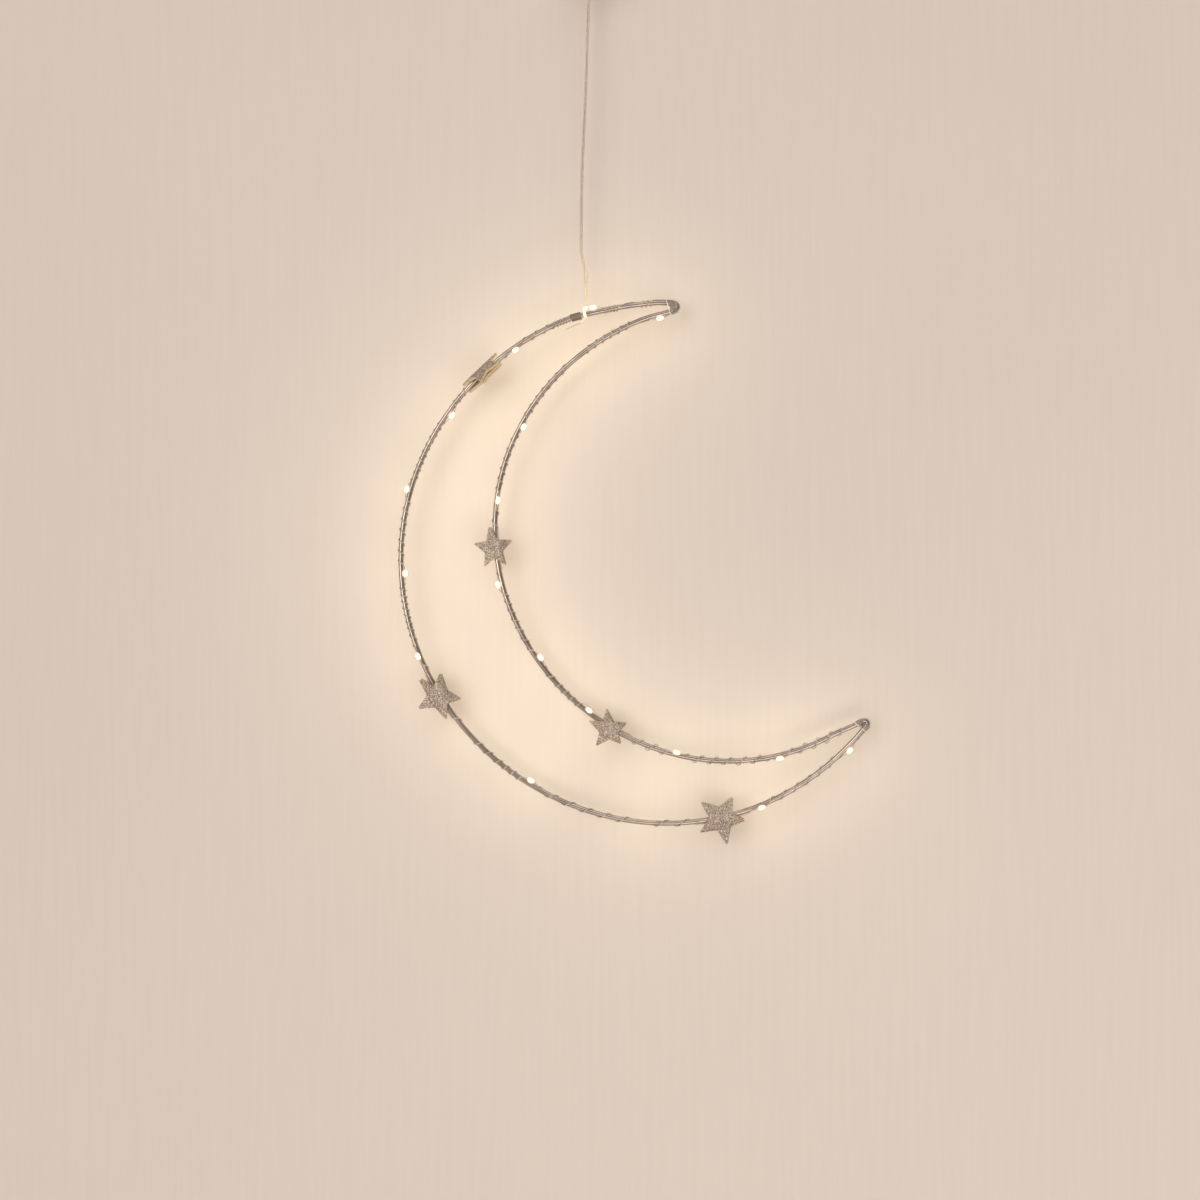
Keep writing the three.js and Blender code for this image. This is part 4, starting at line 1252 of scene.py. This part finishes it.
class MOONLIGHT_OT_stars(bpy.types.Operator):
    """Make the stars, each of two foam layers closed over rod and wire, with glitter on their outer faces"""
    bl_idname = "moonlight.stars"
    bl_label = "Stars"

    def execute(self, context):
        settings = context.scene.moonlight_stars
        face = flake_metal(tuple(settings.glitter_colour), "Glitter Ground", 0.8)
        flake = flake_metal(tone(settings.glitter_colour, 1.25), "Glitter Flakes", 0.5)
        foam = cut_foam(tuple(settings.foam_colour))
        tree = glitter_tree()
        for i, star in enumerate(STARS):
            place = star_place(star)
            for side, to_back in (("front", False), ("back", True)):
                seed = settings.seed + 2 * i + to_back
                points, faces, glitters = star_layer(star, to_back, settings.layer / MM, seed)
                layer = mesh_object(f"foam_star_{i + 1}_{side}", [place @ point for point in points], faces)
                shines = layer.data.attributes.new("glitters", "BOOLEAN", "FACE")
                shines.data.foreach_set("value", glitters)
                cleaned(layer)
                painted(layer, foam, face)
                flags = [int(flag.value) for flag in layer.data.attributes["glitters"].data]
                layer.data.polygons.foreach_set("material_index", flags)
                source = layer.copy()
                source.data = layer.data.copy()
                context.scene.collection.objects.link(source)
                flakes = grown(source, f"glitter_star_{i + 1}_{side}", tree, density=settings.flake_density,
                               flake=settings.flake_size, tilt=0.5, seed=seed, material=flake)
                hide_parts(f"star_{i + 1}_{side}")
                for piece in (layer, flakes):
                    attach(piece, "crescent")
        return {"FINISHED"}


# Tie and sleeve
def rod_ring(along, length, inner, outer):
    """Points and faces of a smooth tube round the rod, in the row frame."""
    steps = 28
    rings = []
    chamfer = (outer - inner) / 4
    half = length / 2
    profile = [
        (inner, -half + chamfer), (inner, half - chamfer), (inner + chamfer, half),
        (outer - chamfer, half), (outer, half - chamfer), (outer, -half + chamfer),
        (outer - chamfer, -half), (inner + chamfer, -half),
    ]
    points, faces = [], []
    for radius, past in profile:
        rings.append(range(len(points), len(points) + steps))
        points.extend(LOOP.point(along + past, 360 * step / steps, radius) for step in range(steps))
    for low, high in zip(rings, [*rings[1:], rings[0]]):
        faces.extend(band(low, high))
    return points, faces


class MOONLIGHT_OT_tie(bpy.types.Operator):
    """Make the clear tie that holds the lead, its tail, and the sleeve beside it"""
    bl_idname = "moonlight.tie"
    bl_label = "Tie and Sleeve"

    def execute(self, context):
        clear = clear_plastic("Clear Tie Plastic", (0.96, 0.90, 0.78), 0.25, 0.25)
        head_top = placed(LEAD_FOOT, LEAD_TOP - LEAD_DROP - 0.25)
        foot = LOOP.point(TIE_ALONG, OUTSIDE, ROD_RADIUS + 0.9)
        neck = smooth_route([head_top, head_top + Vector((0, 0, -1.6)) * MM,
                             head_top.lerp(foot, 0.65), foot], 24)
        dome = [0.25, 0.7, 0.95, 1.1]  # rounded, so that it turns under the lead's foot
        body = [1.15 + 0.25 * math.sin(i / 23 * math.pi) for i in range(len(dome), 24)]
        widths = [width * MM for width in dome + body]
        tail = [LOOP.point(TIE_ALONG + past, INSIDE - 6, ROD_RADIUS + 0.5 + lift) for past, lift in (
            (0.3, 0.1), (2.0, 1.5), (4.2, 2.4), (7.0, 2.6), (10.0, 2.9), (13.4, 3.1),
        )]
        shapes = [
            rod_ring(TIE_ALONG - 0.45, 0.85, ROD_RADIUS + 0.15, ROD_RADIUS + 0.95),
            rod_ring(TIE_ALONG + 0.5, 0.85, ROD_RADIUS + 0.15, ROD_RADIUS + 0.95),
            swept(neck, widths, 16),
            swept(smooth_route(tail, 40), 0.24 * MM, 8),
        ]
        skin = clear_plastic("Tail Skin", (0.46, 0.34, 0.24), 0.2, 0.3)
        tie = painted(cleaned(mesh_object("clear_lead_tie", *merged(*shapes))), clear, skin)
        tail_start = placed(LEAD_FOOT - 3.2, 0).x
        for polygon in tie.data.polygons:
            polygon.material_index = int(polygon.center.x < tail_start)
        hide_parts("lead_tie")
        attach(tie, "crescent")
        tube = rod_ring(TIE_ALONG + 5.2, 6.0, ROD_RADIUS + 0.2, ROD_RADIUS + 0.7)
        sleeve = mesh_object("clear_splice_sleeve", *tube)
        painted(cleaned(sleeve), clear_plastic("Shrunk Sleeve", (0.15, 0.112, 0.085), 0.1, 0.3))
        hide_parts("splice_sleeve")
        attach(sleeve, "crescent")
        return {"FINISHED"}


def rounded_copy(node, name, width, segments=3):
    """A copy of a CAD node with its flat faces joined and its edges rounded."""
    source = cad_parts[node]
    copy = source.copy()
    copy.data = source.data.copy()
    copy.name = name
    copy.data.name = name
    copy.parent = None
    copy.matrix_world = Matrix.Identity(4)
    bpy.context.scene.collection.objects.link(copy)
    cleaned(copy, 2e-6, 1.5)
    copy.data.shade_smooth()
    bevel = copy.modifiers.new("Rounded Edges", "BEVEL")
    bevel.width = width
    bevel.segments = segments
    bevel.limit_method = "ANGLE"
    bevel.angle_limit = math.radians(35)
    bevel.harden_normals = True
    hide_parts(node)
    return copy


class MOONLIGHT_OT_box(bpy.types.Operator):
    """Finish the battery box, its cover, its switch and the bushing that the lead comes out of"""
    bl_idname = "moonlight.box"
    bl_label = "Battery Box"

    def execute(self, context):
        settings = context.scene.moonlight_box
        shell = moulded_plastic("Moulded Box Plastic", tuple(settings.box_colour))
        pieces = (
            ("battery_housing", "moulded_housing", "battery_box", "box_plastic", shell, 1.0),
            ("battery_cover", "sliding_cover", "cover", "box_plastic", shell, 0.6),
            ("switch_plate", "moulded_switch_plate", "battery_box", "box_plastic", shell, 0.6),
            ("switch_knob", "slide_knob", "switch", "knob_plastic",
             moulded_plastic("Moulded Knob Plastic", tuple(settings.knob_colour), 2400, 0.42), 0.8),
            ("lead_bushing", "lead_bushing_clear", "battery_box", "clear_plastic",
             clear_plastic("Bushing Plastic", (0.86, 0.80, 0.70), 0.3, 0.35), 0.5),
        )
        for node, name, body, slot, material, share_of_edge in pieces:
            copy = rounded_copy(node, name, settings.edge * share_of_edge)
            painted(copy, material)
            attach(copy, body)
        return {"FINISHED"}


class MOONLIGHT_OT_cells(bpy.types.Operator):
    """Finish the cells, contacts, springs, switch body and board inside the box"""
    bl_idname = "moonlight.cells"
    bl_label = "Cells and Contacts"

    def execute(self, context):
        steel = plated_metal("Plated Contact Steel", (0.62, 0.61, 0.59))
        nub = plated_metal("Cell Nub Steel", (0.72, 0.70, 0.66), 0.2)
        wrap = cell_wrap()
        for node, up in (("battery_cell_1", 1), ("battery_cell_2", -1)):
            low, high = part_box(node)
            centre = (low + high) / 2
            half = (high.z - low.z) / 2
            radius = (high.x - low.x) / 2
            profile = [
                (0, -half), (radius * 0.82, -half), (radius * 0.9, -half + 0.0003),
                (radius * 0.97, -half + 0.0002), (radius, -half + 0.0007), (radius, half - 0.0019),
                (radius * 0.97, half - 0.0014), (radius * 0.86, half - 0.0013),
                (radius * 0.8, half - 0.0017), (radius * 0.42, half - 0.0017), (radius * 0.37, half - 0.0012),
                (radius * 0.36, half - 0.0003), (radius * 0.31, half), (0, half),
            ]
            cell = mesh_object(f"wrapped_{node}", *lathe(profile, centre, (0, 0, up), 40))
            cleaned(cell)
            painted(cell, wrap, nub)
            for polygon in cell.data.polygons:
                past = up * (polygon.center.z - centre.z)
                bare = past > half - 0.0013 or past < -half + 0.0001
                inner = math.hypot(polygon.center.x - centre.x, polygon.center.y - centre.y) < radius * 0.85
                polygon.material_index = int(bare or (inner and abs(past) > half - 0.003))
            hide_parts(node)
            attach(cell, "battery_box")
        for node, up in (("negative_spring", 1), ("link_spring", -1)):
            low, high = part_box(node)
            centre = Vector(((low.x + high.x) / 2, (low.y + high.y) / 2, low.z if up > 0 else high.z))
            wire = 0.00035
            line = []
            steps = 112
            for step in range(steps + 1):
                part = step / steps
                angle = up * math.tau * 3.5 * part
                reach = 0.0042 + (0.0026 - 0.0042) * part
                height = wire + (high.z - low.z - 2 * wire) * part
                line.append(centre + Vector((reach * math.cos(angle), reach * math.sin(angle), up * height)))
            spring = round_wire(f"coiled_{node}", [line], wire, 10, steel)
            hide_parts(node)
            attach(spring, "battery_box")
        for node in ("link_contact", "negative_contact", "positive_contact", "switch_body"):
            copy = rounded_copy(node, f"plated_{node}", 0.00015, 2)
            painted(copy, steel)
            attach(copy, "battery_box")
        board = rounded_copy("circuit_board", "lacquered_board", 0.00008, 1)
        painted(board, board_lacquer())
        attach(board, "battery_box")
        return {"FINISHED"}


def area_lamp(name, place, target, sizes, power, tint):
    """A soft lamp of a width and a height that points at a target."""
    data = bpy.data.lights.new(name, "AREA")
    data.shape = "RECTANGLE"
    data.size, data.size_y = sizes
    data.energy = power
    data.color = tint
    lamp = new_object(name, data)
    lamp.location = place
    lamp.rotation_mode = "QUATERNION"
    lamp.rotation_quaternion = (target - place).to_track_quat("-Z", "Y")
    return lamp


def soft_windows(tree, level, windows):
    """A world of one level with soft round windows, as (way to it, core and rim in degrees, strength)."""
    way = add_node(tree, "ShaderNodeTexCoord")
    total = None
    for towards, core, rim, strength in windows:
        facing = add_node(tree, "ShaderNodeVectorMath", {1: Vector(towards).normalized()},
                          operation="DOT_PRODUCT")
        soft = add_node(tree, "ShaderNodeMapRange", {
            "From Min": math.cos(math.radians(rim)), "From Max": math.cos(math.radians(core)),
            "To Min": 0.0, "To Max": strength,
        }, interpolation_type="SMOOTHSTEP")
        more = add_node(tree, "ShaderNodeMath", {0: level})
        wired(
            tree,
            (way, "Generated", facing, 0),
            (facing, "Value", soft, "Value"),
            (soft, "Result", more, 1),
        )
        if total:
            tree.links.new(total, more.inputs[0])
        total = more.outputs[0]
    tree.links.new(total, tree.nodes["Background"].inputs["Strength"])


class MOONLIGHT_OT_stage(bpy.types.Operator):
    """Set the wall, the floor, the lamps and the world"""
    bl_idname = "moonlight.stage"
    bl_label = "Stage"

    def execute(self, context):
        settings = context.scene.moonlight_stage
        side, back, front, low, high = 3, 0.0006, -4, -1.3, 1.7
        wall = mesh_object("wall", [
            (-side, back, low), (side, back, low), (side, back, high), (-side, back, high),
        ], [(0, 1, 2, 3)], smooth=False)
        painted(wall, wall_paint(tuple(settings.wall_colour), "Wall Paint", 55))
        floor = mesh_object("floor", [
            (-side, front, low), (side, front, low), (side, back, low), (-side, back, low),
        ], [(0, 1, 2, 3)], smooth=False)
        painted(floor, wall_paint(tuple(settings.floor_colour), "Floor Paint", 30))
        target = placed(*FRAME_MIDDLE)
        warm = (1.0, 0.985, 0.96)
        area_lamp("Fill", Vector((0.35, -1.0, -1.05)), target, (1.0, 0.7), settings.fill_power, warm)
        drops = context.scene.moonlight_drops
        for along, _ in BEADS:
            data = bpy.data.lights.new("Halo", "POINT")
            data.energy = drops.halo_power
            data.color = drops.glow_colour
            data.shadow_soft_size = 0.004
            data.use_shadow = False
            lamp = new_object("Halo", data)
            centre = LOOP.at(along)[0]
            lamp.location = placed(centre.x, centre.y, -20)
            lamp.visible_camera = False
            lamp.visible_glossy = False
            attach(lamp, "crescent")
        world = bpy.data.worlds.new("World")
        world.use_nodes = True
        world.node_tree.nodes["Background"].inputs["Color"].default_value = (*warm, 1)
        soft_windows(world.node_tree, settings.room_light, (
            ((-0.55, -0.8, -0.22), 11, 25, settings.window_light),
            ((-0.5, -0.78, 0.38), 10, 24, settings.window_light * 0.7),
            ((0.15, -0.55, 0.82), 12, 30, settings.ceiling_light),
        ))
        context.scene.world = world
        context.scene.view_settings.view_transform = "Standard"
        return {"FINISHED"}


OPERATORS = (
    MOONLIGHT_OT_camera, MOONLIGHT_OT_lead, MOONLIGHT_OT_rods, MOONLIGHT_OT_string, MOONLIGHT_OT_bindings,
    MOONLIGHT_OT_drops, MOONLIGHT_OT_stars, MOONLIGHT_OT_tie, MOONLIGHT_OT_box, MOONLIGHT_OT_cells,
    MOONLIGHT_OT_stage,
)
SETTINGS = {
    "moonlight_rods": MoonRodSettings,
    "moonlight_drops": MoonDropSettings,
    "moonlight_stars": MoonStarSettings,
    "moonlight_lead": MoonLeadSettings,
    "moonlight_box": MoonBoxSettings,
    "moonlight_stage": MoonStageSettings,
}


class MOONLIGHT_PT_panel(bpy.types.Panel):
    """Lists the light's pieces and their settings"""
    bl_idname = "MOONLIGHT_PT_panel"
    bl_label = "Moon Light"
    bl_space_type = "VIEW_3D"
    bl_region_type = "UI"
    bl_category = "Moon Light"

    def draw(self, context):
        layout = self.layout
        for name, group in SETTINGS.items():
            box = layout.box()
            for key in group.__annotations__:
                box.prop(getattr(context.scene, name), key)
        for kind in OPERATORS:
            layout.operator(kind.bl_idname)


CLASSES = (*SETTINGS.values(), *OPERATORS, MOONLIGHT_PT_panel)


def register():
    for kind in CLASSES:
        bpy.utils.register_class(kind)
    for name, group in SETTINGS.items():
        setattr(bpy.types.Scene, name, PointerProperty(type=group))


def unregister():
    for name in SETTINGS:
        delattr(bpy.types.Scene, name)
    for kind in reversed(CLASSES):
        bpy.utils.unregister_class(kind)


def main():
    register()
    for kind in OPERATORS:
        group, name = kind.bl_idname.split(".")
        getattr(getattr(bpy.ops, group), name)()


if __name__ == "__main__":
    main()
